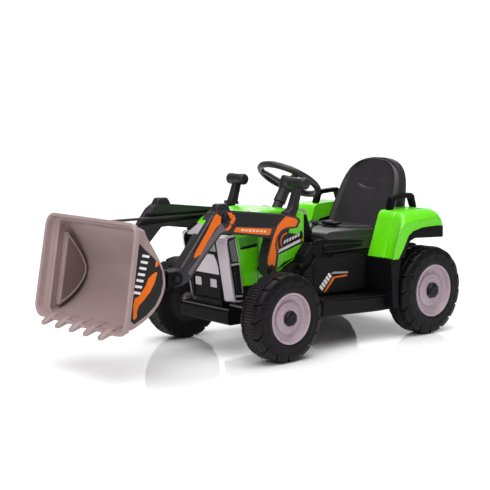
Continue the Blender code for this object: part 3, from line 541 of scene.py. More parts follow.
for place, radius, rim_radius, face_x, centre_y, teeth in (
        ("front", 0.12, 0.072, 0.2575, 0.0, 92), ("rear", 0.132, 0.081, 0.2525, 0.589, 100)):
    for side_name, side in SIDES:
        label = f"{place}_{side_name}"
        body = f"{place}_wheel_{side_name}"
        wheel = (side, face_x, centre_y, radius)
        piece(f"tyre_shell_{label}", tyre(wheel, rim_radius), TYRE_BLACK, body, [f"tyre_{label}"],
              smooth=50.0)
        piece(f"tread_belt_{label}", tread_belt(wheel, teeth), TYRE_BLACK, body, smooth=30.0)
        # The ribs take the paler satin colour as a painted highlight on the tread.
        piece(f"tread_ribs_{label}", tread_ribs(wheel, teeth), SATIN_AND_HIGHLIGHT, body, smooth=30.0)
        if place == "front":
            guard = [(0.0, GUARD_HOLE), (0.0, GUARD_RADIUS), (0.004, GUARD_RADIUS), (0.004, GUARD_HOLE)]
            foot = (side * (face_x - TYRE_WIDTH + 0.003), centre_y, radius)
            piece(f"wheel_guard_{label}", lathe(guard, 48, foot, (side, 0.0, 0.0)), TYRE_BLACK, body,
                  smooth=42.0)
        piece(f"wheel_disc_{label}", rim(wheel, rim_radius), RIM_GREY, body, [f"rim_{label}"], smooth=42.0)
        piece(f"wheel_cap_{label}", cap(wheel, rim_radius), GLOSS_BLACK, body, [f"hub_cap_{label}"], 0.0006,
              2, smooth=20.0)


# ---------------------------------------------------------------- bucket

TOOTH_PITCH = 0.066
LIP_HALF = 0.178
MOUTH_UP = Vector((0.0, 0.162, 0.987)).normalized()
MOUTH_BACK = Vector((0.0, 0.987, -0.162)).normalized()
MOUTH_FOOT = Vector((0.0, -0.5035, 0.15))


def mouth_half(up):
    """Half the bucket's width at this height up its mouth."""
    return 0.2125 - 0.02 * max(0.0, up - 0.004)


def bucket_loop(low_at, high_at, inset, corner_high, corner_low, scoop):
    """One loop round the bucket. low_at and high_at are (back, up) of its floor and its top."""
    low_at = Vector(low_at)
    high_at = Vector(high_at)
    height = (high_at - low_at).length
    corner_high = min(corner_high, height * 0.48)
    corner_low = min(corner_low, height * 0.48)
    outline = []
    for share in (0.0, 0.25, 0.5, 0.75):
        outline.append((share, 0.0))
    for k in range(7):
        turn = math.pi / 2.0 * k / 6.0
        outline.append((1.0, corner_low * (1.0 - math.cos(turn)), corner_low * (1.0 - math.sin(turn))))
    for share in (0.2, 0.4, 0.6, 0.8):
        outline.append((1.0, corner_low + (height - corner_low - corner_high) * share, 0.0))
    for k in range(7):
        turn = math.pi / 2.0 * k / 6.0
        outline.append((1.0, height - corner_high * (1.0 - math.sin(turn)),
                        corner_high * (1.0 - math.cos(turn))))
    for share in (0.75, 0.5, 0.25):
        outline.append((share, height))
    right = []
    for item in outline:
        share, rise = item[0], item[1]
        pull = item[2] if len(item) > 2 else 0.0
        spot = low_at.lerp(high_at, rise / height)
        half = mouth_half(spot.y) * (1.0 - scoop) + 0.1815 * scoop - inset
        if len(item) == 2:
            corner = corner_low if rise == 0.0 else corner_high
            x = (half - corner) * share
        else:
            x = half - pull
        right.append(MOUTH_FOOT + MOUTH_BACK * spot.x + MOUTH_UP * spot.y + Vector((x, 0.0, 0.0)))
    top_middle = MOUTH_FOOT + MOUTH_BACK * high_at.x + MOUTH_UP * high_at.y
    left = [Vector((-p.x, p.y, p.z)) for p in reversed(right[1:])]
    return right + [top_middle] + left


def bucket_shell():
    """The thin-walled scoop: a flanged mouth, two ridges on the rim, a ledge inside and D-shaped ends."""
    top_line = catmull([(0.044, 0.24), (0.054, 0.225), (0.0779, 0.199), (0.1015, 0.171), (0.119, 0.143),
                        (0.1262, 0.115)], 5)
    low_line = catmull([(0.044, -0.004), (0.06, 0.006), (0.0828, 0.0225), (0.1083, 0.05), (0.1222, 0.08),
                        (0.1258, 0.1)], 5)
    count = 18
    top_line = resampled(top_line, count)
    low_line = resampled(low_line, count)
    loops = []
    for top, under in reversed(list(zip(top_line, low_line))):
        loops.append(bucket_loop(under, top, 0.0, 0.004, 0.004, 1.0))
    flange = (
        # back, floor, top, inset, upper corner, lower corner, share of scoop
        (0.038, -0.008, 0.244, 0.0, 0.012, 0.01, 1.0),
        (0.024, -0.012, 0.247, 0.0, 0.014, 0.014, 1.0),
        (0.0196, -0.013, 0.2475, 0.0, 0.015, 0.016, 0.97),
        (0.018, -0.014, 0.2485, 0.001, 0.018, 0.02, 0.8),
        (0.0168, -0.016, 0.25, 0.002, 0.024, 0.03, 0.2),
        (0.015, -0.0168, 0.2505, 0.004, 0.03, 0.034, 0.0),
        (0.0134, -0.0175, 0.251, 0.004, 0.031, 0.035, 0.0),
        (0.0122, -0.0215, 0.2545, 0.001, 0.034, 0.038, 0.0),
        (0.0112, -0.022, 0.255, 0.0, 0.034, 0.038, 0.0),
        (0.0086, -0.0218, 0.2548, 0.0004, 0.034, 0.038, 0.0),
        (0.0076, -0.022, 0.255, 0.0, 0.034, 0.038, 0.0),
        (0.0048, -0.0218, 0.2548, 0.0004, 0.034, 0.038, 0.0),
        (0.0038, -0.022, 0.255, 0.0, 0.034, 0.038, 0.0),
        (0.0012, -0.0218, 0.2547, 0.0004, 0.034, 0.038, 0.0),
        (0.0002, -0.0208, 0.2538, 0.0014, 0.033, 0.037, 0.0),
        (0.0, -0.0192, 0.2524, 0.003, 0.032, 0.036, 0.0),
        (0.0004, -0.016, 0.2482, 0.0082, 0.028, 0.032, 0.0),
        (0.0014, -0.0148, 0.247, 0.0096, 0.026, 0.031, 0.0),
        (0.006, -0.0138, 0.246, 0.0108, 0.025, 0.03, 0.0),
        (0.014, -0.013, 0.245, 0.012, 0.024, 0.029, 0.0),
        (0.019, -0.0122, 0.244, 0.0132, 0.023, 0.028, 0.02),
        (0.0202, -0.011, 0.2426, 0.013, 0.021, 0.026, 0.3),
        (0.0208, -0.01, 0.2414, 0.012, 0.018, 0.024, 0.62),
        (0.0216, -0.009, 0.2404, 0.011, 0.015, 0.02, 0.86),
        (0.0232, -0.008, 0.2396, 0.01, 0.012, 0.016, 1.0),
        (0.032, -0.0055, 0.237, 0.0075, 0.011, 0.012, 1.0),
        (0.04, -0.003, 0.234, 0.006, 0.01, 0.008, 1.0),
    )
    for back, floor, top, inset, corner_high, corner_low, scoop in flange:
        loops.append(bucket_loop((back, floor), (back, top), inset, corner_high, corner_low, scoop))
    middle = Vector((0.06, 0.11))
    for top, under in zip(top_line, low_line):
        top_in = top - (top - middle).normalized() * 0.0052
        under_in = under - (under - middle).normalized() * 0.0052
        loops.append(bucket_loop(under_in, top_in, 0.0055, 0.006, 0.006, 1.0))
    return loft(loops)


def bucket_tooth(x):
    """A rounded finger that runs out of the floor as a rib."""
    sections = []
    path = ((-0.44, 0.1435, 0.005, 0.0012), (-0.455, 0.141, 0.0085, 0.004), (-0.47, 0.1375, 0.0105, 0.007),
            (-0.485, 0.1345, 0.0118, 0.0088), (-0.498, 0.1315, 0.0122, 0.0094),
            (-0.508, 0.1275, 0.012, 0.0088), (-0.517, 0.1232, 0.0112, 0.0074),
            (-0.523, 0.1205, 0.0098, 0.006), (-0.5258, 0.119, 0.0074, 0.0044),
            (-0.5268, 0.1184, 0.004, 0.0022))
    for y, z, half, tall in path:
        ring = []
        for angle in angles_round(20):
            c, s = math.cos(angle), math.sin(angle)
            ring.append((x + half * math.copysign(abs(c) ** 0.7, c), y,
                         z + tall * math.copysign(abs(s) ** 0.7, s)))
        sections.append(ring)
    return loft(sections)


def bucket_lip():
    """The floor's front edge, which curves back between the teeth."""
    count = 96
    across = [-LIP_HALF + 2.0 * LIP_HALF * k / count for k in range(count + 1)]
    bm = bmesh.new()
    rows = []
    for drop, back in ((0.0, 0.001), (0.0012, 0.0), (0.0048, 0.0), (0.006, 0.0012)):
        row = []
        for x in across:
            wave = 0.5 + 0.5 * math.cos(2.0 * math.pi * x / TOOTH_PITCH)
            inside = smoothstep(LIP_HALF, 0.168, abs(x))
            y = -0.496 - (0.002 + 0.012 * wave ** 1.4) * inside + back
            row.append(bm.verts.new((x, y, 0.133 - drop - 0.3 * (-0.496 - y))))
        rows.append(row)
    for drop in (0.006, 0.0):
        rows.append([bm.verts.new((x, -0.47, 0.1385 - drop)) for x in across])
    bm.faces.new([row[0] for row in rows])
    bm.faces.new([row[-1] for row in rows])
    for row, following in zip(rows, rows[1:] + rows[:1]):
        for k in range(count):
            bm.faces.new((row[k], row[k + 1], following[k + 1], following[k]))
    bmesh.ops.recalc_face_normals(bm, faces=bm.faces)
    return bm


piece("bucket_scoop", bucket_shell(), BUCKET_GREY, "bucket_body", ["bucket"], smooth=40.0)
piece("bucket_teeth", pooled(bucket_lip(), *[bucket_tooth((k - 2) * TOOTH_PITCH) for k in range(5)]),
      BUCKET_GREY, "bucket_body", smooth=50.0)
rod_lug = slab([(-0.4238, 0.38), (-0.416, 0.385), (-0.391, 0.385), (-0.39, 0.356), (-0.408, 0.352)], 0.004,
               -0.1135, -0.1075)
piece("bucket_rod_lug", rod_lug, BUCKET_GREY, "bucket_body", bevel=0.001)

END_PANEL_X = 0.156
for side_name, side in SIDES:
    curve = catmull([(0.042, 0.209), (0.056, 0.196), (0.074, 0.178), (0.094, 0.155), (0.109, 0.133),
                     (0.115, 0.11), (0.109, 0.086), (0.093, 0.059), (0.072, 0.035), (0.056, 0.021),
                     (0.042, 0.012)], 4)
    on_wall = [MOUTH_FOOT + MOUTH_BACK * at.x + MOUTH_UP * at.y for at in curve]
    centre = sum(on_wall, Vector()) / len(on_wall)
    panel = [centre + (at - centre) * 0.9 for at in on_wall]
    bulge = prism([(at.y, at.z) for at in on_wall], side * 0.1772, side * END_PANEL_X)
    piece(f"bucket_end_bulge_{side_name}", bulge, BUCKET_GREY, "bucket_body", bevel=0.003, segments=4)
    # The D panel takes the darker bucket colour: painted shade inside the bucket's end.
    plate = prism([(at.y, at.z) for at in panel], side * (END_PANEL_X + 0.001),
                  side * (END_PANEL_X - 0.0006))
    piece(f"bucket_end_painted_shade_{side_name}", plate, BUCKET_SHADE, "bucket_body", bevel=0.0004)
    ridge = tube([Vector((side * (END_PANEL_X - 0.0004), at.y, at.z)) for at in panel], 0.0026)
    piece(f"bucket_end_ridge_{side_name}", ridge, BUCKET_GREY, "bucket_body")

END_BLACK = [(-0.4455, 0.348), (-0.436, 0.348), (-0.425, 0.336), (-0.3992, 0.3141), (-0.38, 0.296),
             (-0.37, 0.2741), (-0.368, 0.245), (-0.375, 0.219), (-0.392, 0.192), (-0.42, 0.17),
             (-0.456, 0.153), (-0.47, 0.164), (-0.46, 0.26)]
FLAME = [(-0.3844, 0.2776), (-0.39, 0.26), (-0.3949, 0.2476), (-0.4078, 0.2282), (-0.423, 0.213),
         (-0.4432, 0.196), (-0.448, 0.1836), (-0.449, 0.169), (-0.46, 0.162), (-0.459, 0.2008),
         (-0.4539, 0.2168), (-0.443, 0.2197), (-0.4227, 0.2422), (-0.4124, 0.2618), (-0.3997, 0.2708)]
SHARD = [(-0.3892, 0.305), (-0.3806, 0.2959), (-0.3843, 0.289), (-0.3925, 0.2866)]
END_BARS = 7
END_FACE = 0.1815


def end_prints(side_name, side):
    """The printed panel on the bucket's end: black field, flame, shard and slanted plain bars."""
    surface = side * END_FACE
    for name, outline, material, lift in (("field", END_BLACK, BLACK_PRINT, 0.0006),
                                          ("flame", FLAME, ORANGE, 0.001), ("shard", SHARD, ORANGE, 0.001)):
        field = slab(outline, 0.004, surface - side * 0.0005, surface + side * lift)
        printed(f"bucket_{name}_{side_name}", field, material, "bucket_body", 0.0002)
    bars = []
    for k in range(END_BARS):
        y = -0.449 + 0.0046 * k
        z = 0.229 + 0.0146 * k
        outline = [(y - 0.008, z + 0.006), (y + 0.013, z + 0.001), (y + 0.011, z - 0.005), (y - 0.01, z)]
        bars.append(slab(outline, 0.0015, surface - side * 0.0005, surface + side * 0.001))
    printed(f"bucket_bars_{side_name}", pooled(*bars), WHITE, "bucket_body", 0.0002)


for side_name, side in SIDES:
    end_prints(side_name, side)
    plates = [
        slab([(-0.34, 0.222), (-0.34, 0.266), (-0.301, 0.264), (-0.287, 0.257), (-0.283, 0.246),
              (-0.287, 0.235), (-0.301, 0.228)], 0.01, side * x0, side * x1, steps=6)
        for x0, x1 in ((0.1065, 0.1127), (0.1473, 0.1535))
    ]
    plates.append(slab([(-0.3655, 0.27), (-0.3632, 0.245), (-0.368, 0.218), (-0.331, 0.218),
                        (-0.331, 0.27)], 0.005, side * 0.1065, side * 0.1535))
    for x in (0.112, 0.13, 0.148):
        plates.append(slab([(-0.3645, 0.268), (-0.3645, 0.224), (-0.352, 0.214), (-0.345, 0.276)], 0.006,
                           side * (x - 0.0016), side * (x + 0.0016)))
    piece(f"bucket_hinge_block_{side_name}", pooled(*plates), BLACK, "bucket_body",
          [f"bucket_bracket_{side_name}"], 0.0012)
    nuts = [
        lathe([(0.0, 0.0), (0.0, 0.01), (0.003, 0.01), (0.0038, 0.009), (0.0038, 0.0)], 6,
              (side * x, *TILT), (turn * side, 0.0, 0.0))
        for x, turn in ((0.1537, 1.0), (0.1063, -1.0))
    ]
    piece(f"bucket_hinge_nuts_{side_name}", pooled(*nuts), GLOSS_BLACK, "bucket_body", bevel=0.0005,
          smooth=25.0)


# ---------------------------------------------------------------- loader arms

ARM_IN = 0.113
ARM_OUT = 0.147
ARM_TOP = [
    (-0.176, 0.403), (-0.162, 0.411), (-0.12, 0.4085), (0.08, 0.386), (0.122, 0.376), (0.136, 0.365),
    (0.122, 0.345),
]
ARM_REST = [
    (0.042, 0.224), (0.027, 0.217), (0.012, 0.224), (0.008, 0.24), (0.008, 0.27), (0.026, 0.323),
    (-0.03, 0.3335), (-0.13, 0.347), (-0.152, 0.346), (-0.204, 0.295), (-0.256, 0.238), (-0.278, 0.226),
    (-0.303, 0.2235), (-0.321, 0.233), (-0.3255, 0.248), (-0.318, 0.263), (-0.287, 0.269),
]
POST_REAR = {
    1.0: [(0.086, 0.345), (0.066, 0.34), (0.051, 0.324), (0.045, 0.304), (0.052, 0.272), (0.047, 0.24)],
    -1.0: [(0.098, 0.333), (0.075, 0.3), (0.047, 0.24)],
}
ARM_SINK = 0.0012
ARM_PRINTS = (
    ("leg_stripe", ORANGE, [(-0.169, 0.405), (-0.15, 0.393), (-0.153, 0.376), (-0.17, 0.364),
                            (-0.1894, 0.3401), (-0.22, 0.301), (-0.244, 0.2905), (-0.2365, 0.3093),
                            (-0.198, 0.36)]),
    ("leg_edge", GREY_AND_HIGHLIGHT, [(-0.15, 0.376), (-0.133, 0.356), (-0.149, 0.352), (-0.201, 0.301),
                               (-0.25, 0.248), (-0.264, 0.254), (-0.23, 0.29), (-0.18, 0.348)]),
    ("beam_panel", BLACK_PRINT, [(-0.1042, 0.401), (0.0633, 0.384), (0.044, 0.354), (0.0, 0.356),
                                 (-0.0927, 0.3655), (-0.101, 0.376)]),
    ("beam_strip", ORANGE, [(-0.1101, 0.351), (-0.0985, 0.3625), (0.0277, 0.35), (0.0205, 0.3325),
                            (-0.03, 0.339), (-0.09, 0.348)]),
    ("post_block", ORANGE, [(0.083, 0.383), (0.116, 0.374), (0.126, 0.364), (0.117, 0.35), (0.0854, 0.346),
                            (0.06, 0.339), (0.046, 0.324), (0.04, 0.306), (0.045, 0.28), (0.041, 0.256),
                            (0.038, 0.243), (0.03, 0.253), (0.019, 0.248), (0.013, 0.256), (0.016, 0.2833),
                            (0.034, 0.3275), (0.051, 0.3582)]),
)
SHARDS = (
    (ORANGE, [(-0.1329, 0.4039), (-0.1157, 0.4028), (-0.11, 0.3936), (-0.119, 0.385), (-0.124, 0.396)]),
    (ORANGE, [(-0.1014, 0.385), (-0.113, 0.37), (-0.124, 0.376), (-0.111, 0.39), (-0.108, 0.399)]),
    (ORANGE, [(-0.119, 0.374), (-0.116, 0.364), (-0.1273, 0.3552), (-0.14, 0.3584), (-0.129, 0.364)]),
)


def arm_plate(outline, side, surface, lift=0.0006):
    """A thin plate for a print on the arm."""
    return slab(outline, 0.003, side * (surface - 0.001), side * (surface + lift), steps=3)


def slanted_bars(y0, z0, y1, z1, tall, count, gap, lean, side, surface, lift):
    """A row of plain bars standing where lettering would be."""
    start, end = Vector((y0, z0)), Vector((y1, z1))
    bars = []
    for k in range(count):
        a = start.lerp(end, (k + gap) / count)
        b = start.lerp(end, (k + 1.0 - gap) / count)
        outline = [(a.x, a.y), (b.x, b.y), (b.x + lean, b.y + tall), (a.x + lean, a.y + tall)]
        bars.append(prism(outline, side * (surface - 0.0006), side * (surface + lift)))
    return pooled(*bars)


def carved(bm, *tools):
    """The mesh with the others cut out of it."""
    body = placed("carved", mesh_from(bm, "carved"))
    cutters = [placed("cutter", mesh_from(tool, "cutter")) for tool in tools]
    for cutter in cutters:
        modifier = body.modifiers.new("cut", "BOOLEAN")
        modifier.object = cutter
        modifier.operation = "DIFFERENCE"
        modifier.solver = "EXACT"
    bpy.context.view_layer.update()
    result = bmesh.new()
    result.from_object(body, bpy.context.evaluated_depsgraph_get())
    for obj in (body, *cutters):
        bpy.data.objects.remove(obj, do_unlink=True)
    return result


ARM_GROOVE = [(-0.26, 0.35), (-0.15, 0.356), (0.072, 0.3625), (0.072, 0.3835), (-0.15, 0.3845),
              (-0.26, 0.389)]
LEVER_POCKET = [(0.064, 0.304), (0.106, 0.304), (0.15, 0.345), (0.15, 0.41), (0.05, 0.41), (0.06, 0.335)]


def arm_shell(outline, side):
    """The arm: a beam with a sunk outer face, bored for its two pivots.

    A groove runs along its inner face, and the right one has a pocket for the lever.
    """
    tools = [slab(ARM_GROOVE, 0.003, side * 0.1, side * 0.131)]
    if side < 0.0:
        tools.append(prism(LEVER_POCKET, side * 0.1, side * 0.131))
    tools += [rod((side * 0.1, *at), (side * 0.16, *at), 0.0066, edge=0.0) for at in (LIFT, TILT)]
    return carved(prism(outline, side * ARM_IN, side * ARM_OUT, ARM_SINK, 0.0048), *tools)


def knob(middle):
    """The blunt grip moulded on top of the arm's knee."""
    sections = []
    for z, y0, y1, half in ((0.4, -0.168, -0.115, 0.015), (0.408, -0.1665, -0.1165, 0.0145),
                            (0.418, -0.162, -0.1205, 0.013), (0.424, -0.159, -0.1235, 0.0115),
                            (0.4266, -0.156, -0.1262, 0.0092), (0.4274, -0.152, -0.13, 0.006)):
        corners = rectangle(middle - half, middle + half, y0, y1)
        sections.append([(x, y, z) for x, y in rounded(corners, 0.004)])
    return loft(sections)


for side_name, side in SIDES:
    middle = side * (ARM_IN + ARM_OUT) / 2.0
    arm_outline = rounded(ARM_TOP + POST_REAR[side] + ARM_REST, 0.006)
    arm = arm_shell(arm_outline, side)
    collars = []
    for y, z in (LIFT, TILT):
        collars.append(lathe([(0.0, 0.007), (0.0, 0.015), (0.003, 0.0145), (0.0036, 0.0135),
                              (0.0036, 0.007)], 32, (side * (ARM_OUT - 0.0036), y, z), (side, 0.0, 0.0)))
    lever_pin = [rod((side * 0.114, 0.085, 0.325), (side * 0.133, 0.085, 0.325),
                     0.004)] if side < 0.0 else []
    piece(f"arm_body_{side_name}", pooled(arm, knob(middle), *collars, *lever_pin), SATIN_AND_HIGHLIGHT, "loader_arms",
          [f"loader_arm_{side_name}"], 0.0016, smooth=34.0)
    sunk = ARM_OUT - ARM_SINK
    for name, material, outline in ARM_PRINTS:
        printed(f"arm_{name}_{side_name}", arm_plate(outline, side, sunk), material, "loader_arms", 0.0002)
    outline = rounded([(-0.17, 0.4065), (-0.145, 0.385), (-0.166, 0.373), (-0.209, 0.315), (-0.243, 0.304),
                       (-0.239, 0.324), (-0.208, 0.36)], 0.003, 3)
    printed(f"arm_stripe_edge_{side_name}", prism(outline, side * (sunk - 0.001), side * (sunk + 0.0003)),
            BLACK_PRINT, "loader_arms")
    disc = lathe([(-0.003, 0.0), (-0.003, 0.0125), (0.0035, 0.012), (0.005, 0.0105), (0.0052, 0.0085),
                  (0.004, 0.0075), (0.004, 0.0)], 40, (side * ARM_OUT, -0.137, 0.387), (side, 0.0, 0.0))
    piece(f"knee_disc_{side_name}", disc, GLOSS_BLACK, "loader_arms", bevel=0.0004, smooth=30.0)
    for number, (material, outline) in enumerate(SHARDS):
        printed(f"knee_shard_{number}_{side_name}", arm_plate(outline, side, sunk, 0.0008), material,
                "loader_arms")
    bars = slanted_bars(-0.085, 0.3515, 0.008, 0.3405, 0.006, 7, 0.16, 0.0015, side, sunk, 0.001)
    printed(f"arm_bars_{side_name}", bars, CREAM, "loader_arms")
    # A pale line along the arm's top edge: painted highlight.
    top_line = tube([(side * (ARM_OUT - 0.001), y, z) for y, z in
                     ((-0.115, 0.4058), (0.078, 0.3838), (0.118, 0.374))], 0.0011, 8)
    piece(f"arm_top_highlight_{side_name}", top_line, GREY_AND_HIGHLIGHT, "loader_arms")
    # A pale line along the leg's front edge: painted highlight.
    front = [(side * (ARM_OUT + 0.0002), y, z) for y, z in ((-0.18, 0.4), (-0.23, 0.338), (-0.284, 0.272))]
    piece(f"arm_front_highlight_{side_name}", tube(front, 0.0013, 8), GREY_AND_HIGHLIGHT, "loader_arms")
    slot_plate = slab([(-0.192, 0.374), (-0.199, 0.369), (-0.221, 0.342), (-0.216, 0.341)], 0.002,
                      side * (sunk - 0.001), side * (sunk + 0.0004), steps=3)
    printed(f"arm_slot_{side_name}", slot_plate, PIT_BLACK, "loader_arms")


# ---------------------------------------------------------------- handles and rods

HANDLE_X = 0.13
GRIP_AT = (0.14, 0.4675)


def t_handle(side, foot_z, foot_rear_z, foot_y0, foot_y1):
    """A stem with a flared foot under a round cross grip with domed ends."""
    middle = side * HANDLE_X
    stem = []
    for y0, y1, z0, z1, half in (
            (foot_y0 - 0.001, foot_y1 + 0.001, foot_z - 0.004, foot_rear_z - 0.004, 0.0152),
            (foot_y0, foot_y1, foot_z + 0.006, foot_rear_z + 0.006, 0.015),
            (0.106, 0.133, 0.4, 0.397, 0.0122),
            (0.112, 0.137, 0.415, 0.412, 0.011),
            (0.12, 0.144, 0.438, 0.436, 0.0104),
            (0.129, 0.151, 0.462, 0.462, 0.01)):
        depth = y1 - y0
        flat = rounded(rectangle(middle - half, middle + half, y0, y1), 0.0045)
        stem.append([(x, y, z0 + (z1 - z0) * (y - y0) / depth) for x, y in flat])
    profile = [(-0.037, 0.0), (-0.0368, 0.006), (-0.036, 0.011), (-0.0344, 0.0142), (-0.032, 0.016),
               (-0.028, 0.0165), (-0.016, 0.016), (0.0, 0.0158), (0.016, 0.016), (0.028, 0.0165),
               (0.032, 0.016), (0.0344, 0.0142), (0.036, 0.011), (0.0368, 0.006), (0.037, 0.0)]
    grip = lathe(profile, 32, (middle, *GRIP_AT), (1.0, 0.0, 0.0))
    rings = [lathe([(x - 0.0008, 0.015), (x - 0.0008, 0.0168), (x + 0.0008, 0.0168), (x + 0.0008, 0.015)],
                   32, (middle, *GRIP_AT), (1.0, 0.0, 0.0)) for x in (-0.024, 0.024)]
    return pooled(loft(stem), grip, *rings)


piece("lift_grip_left", t_handle(1.0, 0.383, 0.3755, 0.088, 0.122), SATIN_AND_HIGHLIGHT, "loader_arms",
      ["lift_handle_left"], 0.0008, smooth=40.0)
lever_plate = slab([(0.072, 0.32), (0.079, 0.3125), (0.091, 0.3125), (0.098, 0.32), (0.115, 0.366),
                    (0.134, 0.402), (0.102, 0.405), (0.09, 0.37)], 0.006, -0.1305, -0.1245)
piece("tilt_grip_right", pooled(t_handle(-1.0, 0.4, 0.397, 0.1, 0.134), lever_plate), SATIN_AND_HIGHLIGHT, "tilt_lever",
      ["tilt_lever_right"], 0.001, smooth=40.0)
for node_name, material in (("tilt_rod", DARK_STEEL), ("bucket_hinge_rod", DARK_STEEL),
                            ("arm_pivot_bolt", GLOSS_BLACK), ("arm_pivot_nut", GLOSS_BLACK),
                            ("front_frame", BLACK), ("front_axle_beam", DARK_STEEL),
                            ("knuckle_left", STEEL), ("knuckle_right", STEEL), ("tie_rod", STEEL),
                            ("steering_shaft", DARK_STEEL), ("rear_axle", STEEL), ("battery", CASE_BLUE),
                            ("gearbox_left", CASE_GREY), ("gearbox_right", CASE_GREY), ("body_tub", BLACK),
                            ("power_button", RED)):
    node_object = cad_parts[node_name]
    node_object.data.materials.clear()
    node_object.data.materials.append(material)


# ---------------------------------------------------------------- hood

HOOD_HALF = 0.0925
HOOD_TOP = 0.396


def hood_shell():
    """The green cover: flat sides, a top that rolls over into them, and two long creases on it."""
    crest = catmull([(-0.07, 0.333), (-0.052, 0.352), (-0.02, 0.376), (0.03, 0.391), (0.09, HOOD_TOP),
                     (0.16, HOOD_TOP - 0.004), (0.2, HOOD_TOP - 0.013)], 5)
    foot = [(-0.07, 0.1905), (0.0995, 0.1905), (0.11, 0.225), (0.15, 0.2425), (0.2, 0.264)]
    sections = []
    for point in crest:
        y, top = point.x, point.y
        under = foot[0][1]
        for (y0, z0), (y1, z1) in zip(foot, foot[1:]):
            if y0 <= y <= y1:
                under = z0 + (z1 - z0) * (y - y0) / (y1 - y0)
        right = [(0.0, 0.0), (0.036, 0.0), (0.04, -0.0012), (0.044, 0.0), (0.078, -0.0006), (0.085, -0.002),
                 (0.0892, -0.0045), (0.0915, -0.0085), (HOOD_HALF, -0.014)]
        ring = [(x, y, top + drop) for x, drop in right]
        ring += [(HOOD_HALF, y, under), (HOOD_HALF - 0.005, y, under)]
        ring += [(HOOD_HALF - 0.005, y, top - 0.016), (HOOD_HALF - 0.009, y, top - 0.009),
                 (0.0, y, top - 0.006)]
        ring += [(-x, yy, z) for x, yy, z in reversed(ring[1:-1])]
        sections.append(ring)
    return loft(sections)


piece("hood_cover", hood_shell(), GREEN, replaces=["hood_shell"], bevel=0.0012, smooth=34.0)
ARC_CENTRE = Vector((0.133, 0.302))
ARC_ANGLES = [math.radians(88.0 + 9.0 * k) for k in range(15)]
ARCS = ((0.042, 0.035), (0.026, 0.02))
SIDE_PRINTS = (
    # name, material, outline, how proud
    # seam: a black strip standing for the shade in a groove along the hood side, painted shade
    ("seam", PIT_BLACK, [(-0.04, 0.2986), (0.0236, 0.3055), (0.0236, 0.2965), (-0.038, 0.2917)], 0.0004),
    # shade: a darker green band, painted shade under the arm's beam
    ("shade", GREEN_SHADE, [(-0.047, 0.325), (0.0236, 0.33), (0.0236, 0.3055), (-0.04, 0.2986)], 0.0003),
    ("rear_field", BLACK_PRINT, [(0.089, 0.222), (0.089, 0.29), (0.1, 0.334), (0.132, 0.35), (0.15, 0.333),
                                 (0.196, 0.333), (0.1975, 0.27), (0.15, 0.247), (0.112, 0.23)], 0.0003),
    ("rear_top", GREEN, [(0.1396, 0.326), (0.1786, 0.319), (0.19, 0.331), (0.196, 0.319), (0.196, 0.348),
                         (0.15, 0.35)], 0.0007),
    ("rear_white", WHITE, [(0.0965, 0.271), (0.106, 0.2817), (0.186, 0.305), (0.188, 0.297)], 0.0007),
    ("rear_red", ORANGE, [(0.1885, 0.3055), (0.1965, 0.3075), (0.1965, 0.2995), (0.19, 0.2975)], 0.0009),
    ("rear_green", GREEN, [(0.0915, 0.224), (0.095, 0.265), (0.1965, 0.293), (0.1965, 0.272), (0.1596, 0.2535),
                           (0.1209, 0.243)], 0.0007),
)
for side_name, side in SIDES:
    for name, material, outline, lift in SIDE_PRINTS:
        plate = slab(outline, 0.002, side * (HOOD_HALF - 0.001), side * (HOOD_HALF + lift), steps=3)
        printed(f"hood_{name}_{side_name}", plate, material)
    bars = slanted_bars(0.118, 0.295, 0.183, 0.313, 0.0095, 6, 0.17, 0.003, side, HOOD_HALF, 0.0008)
    printed(f"hood_bars_{side_name}", bars, WHITE)
    panel = slab(rectangle(0.0245, 0.0855, 0.2055, 0.3445), 0.003, side * 0.0865, side * 0.0912)
    slats = [
        slab([(0.03, z), (0.08, z + 0.006), (0.08, z + 0.0105), (0.03, z + 0.0045)], 0.0015, side * 0.0905,
             side * 0.0922, steps=3) for z in (0.218, 0.233, 0.248, 0.263, 0.278, 0.293, 0.308, 0.323)
    ]
    for number, (outer, inner) in enumerate(ARCS):
        arc = [tuple(ARC_CENTRE + Vector((math.cos(t), math.sin(t))) * reach)
               for reach, way in ((outer, ARC_ANGLES), (inner, ARC_ANGLES[::-1])) for t in way]
        band = prism(arc, side * (HOOD_HALF - 0.0008), side * (HOOD_HALF + 0.0012))
        piece(f"hood_arc_{number}_{side_name}", band, ORANGE, smooth=30.0)
    piece(f"hood_grille_{side_name}", pooled(panel, *slats), PIT_BLACK,
          replaces=[f"side_grille_{side_name}"], bevel=0.0006)
    # The dark green line round the grille is painted shade along the grille's rim.
    frame_line = [(side * (HOOD_HALF + 0.0001), y, z) for y, z in ((0.0235, 0.204), (0.0235, 0.346),
            (0.0865, 0.346), (0.0865, 0.23))]
    piece(f"hood_grille_edge_{side_name}", tube(frame_line, 0.0012, 8), GREEN_SHADE)

# ---------------------------------------------------------------- front

FRONT_LINE = ((0.152, -0.077), (0.158, -0.0805), (0.245, -0.0865), (0.315, -0.0985), (0.322, -0.101))


def lean(z):
    """How far the nose's face stands ahead of y = -0.08 at this height, as a shift along y."""
    for (z0, y0), (z1, y1) in zip(FRONT_LINE, FRONT_LINE[1:]):
        if z <= z1:
            break
    return y0 + (y1 - y0) * (z - z0) / (z1 - z0) + 0.08


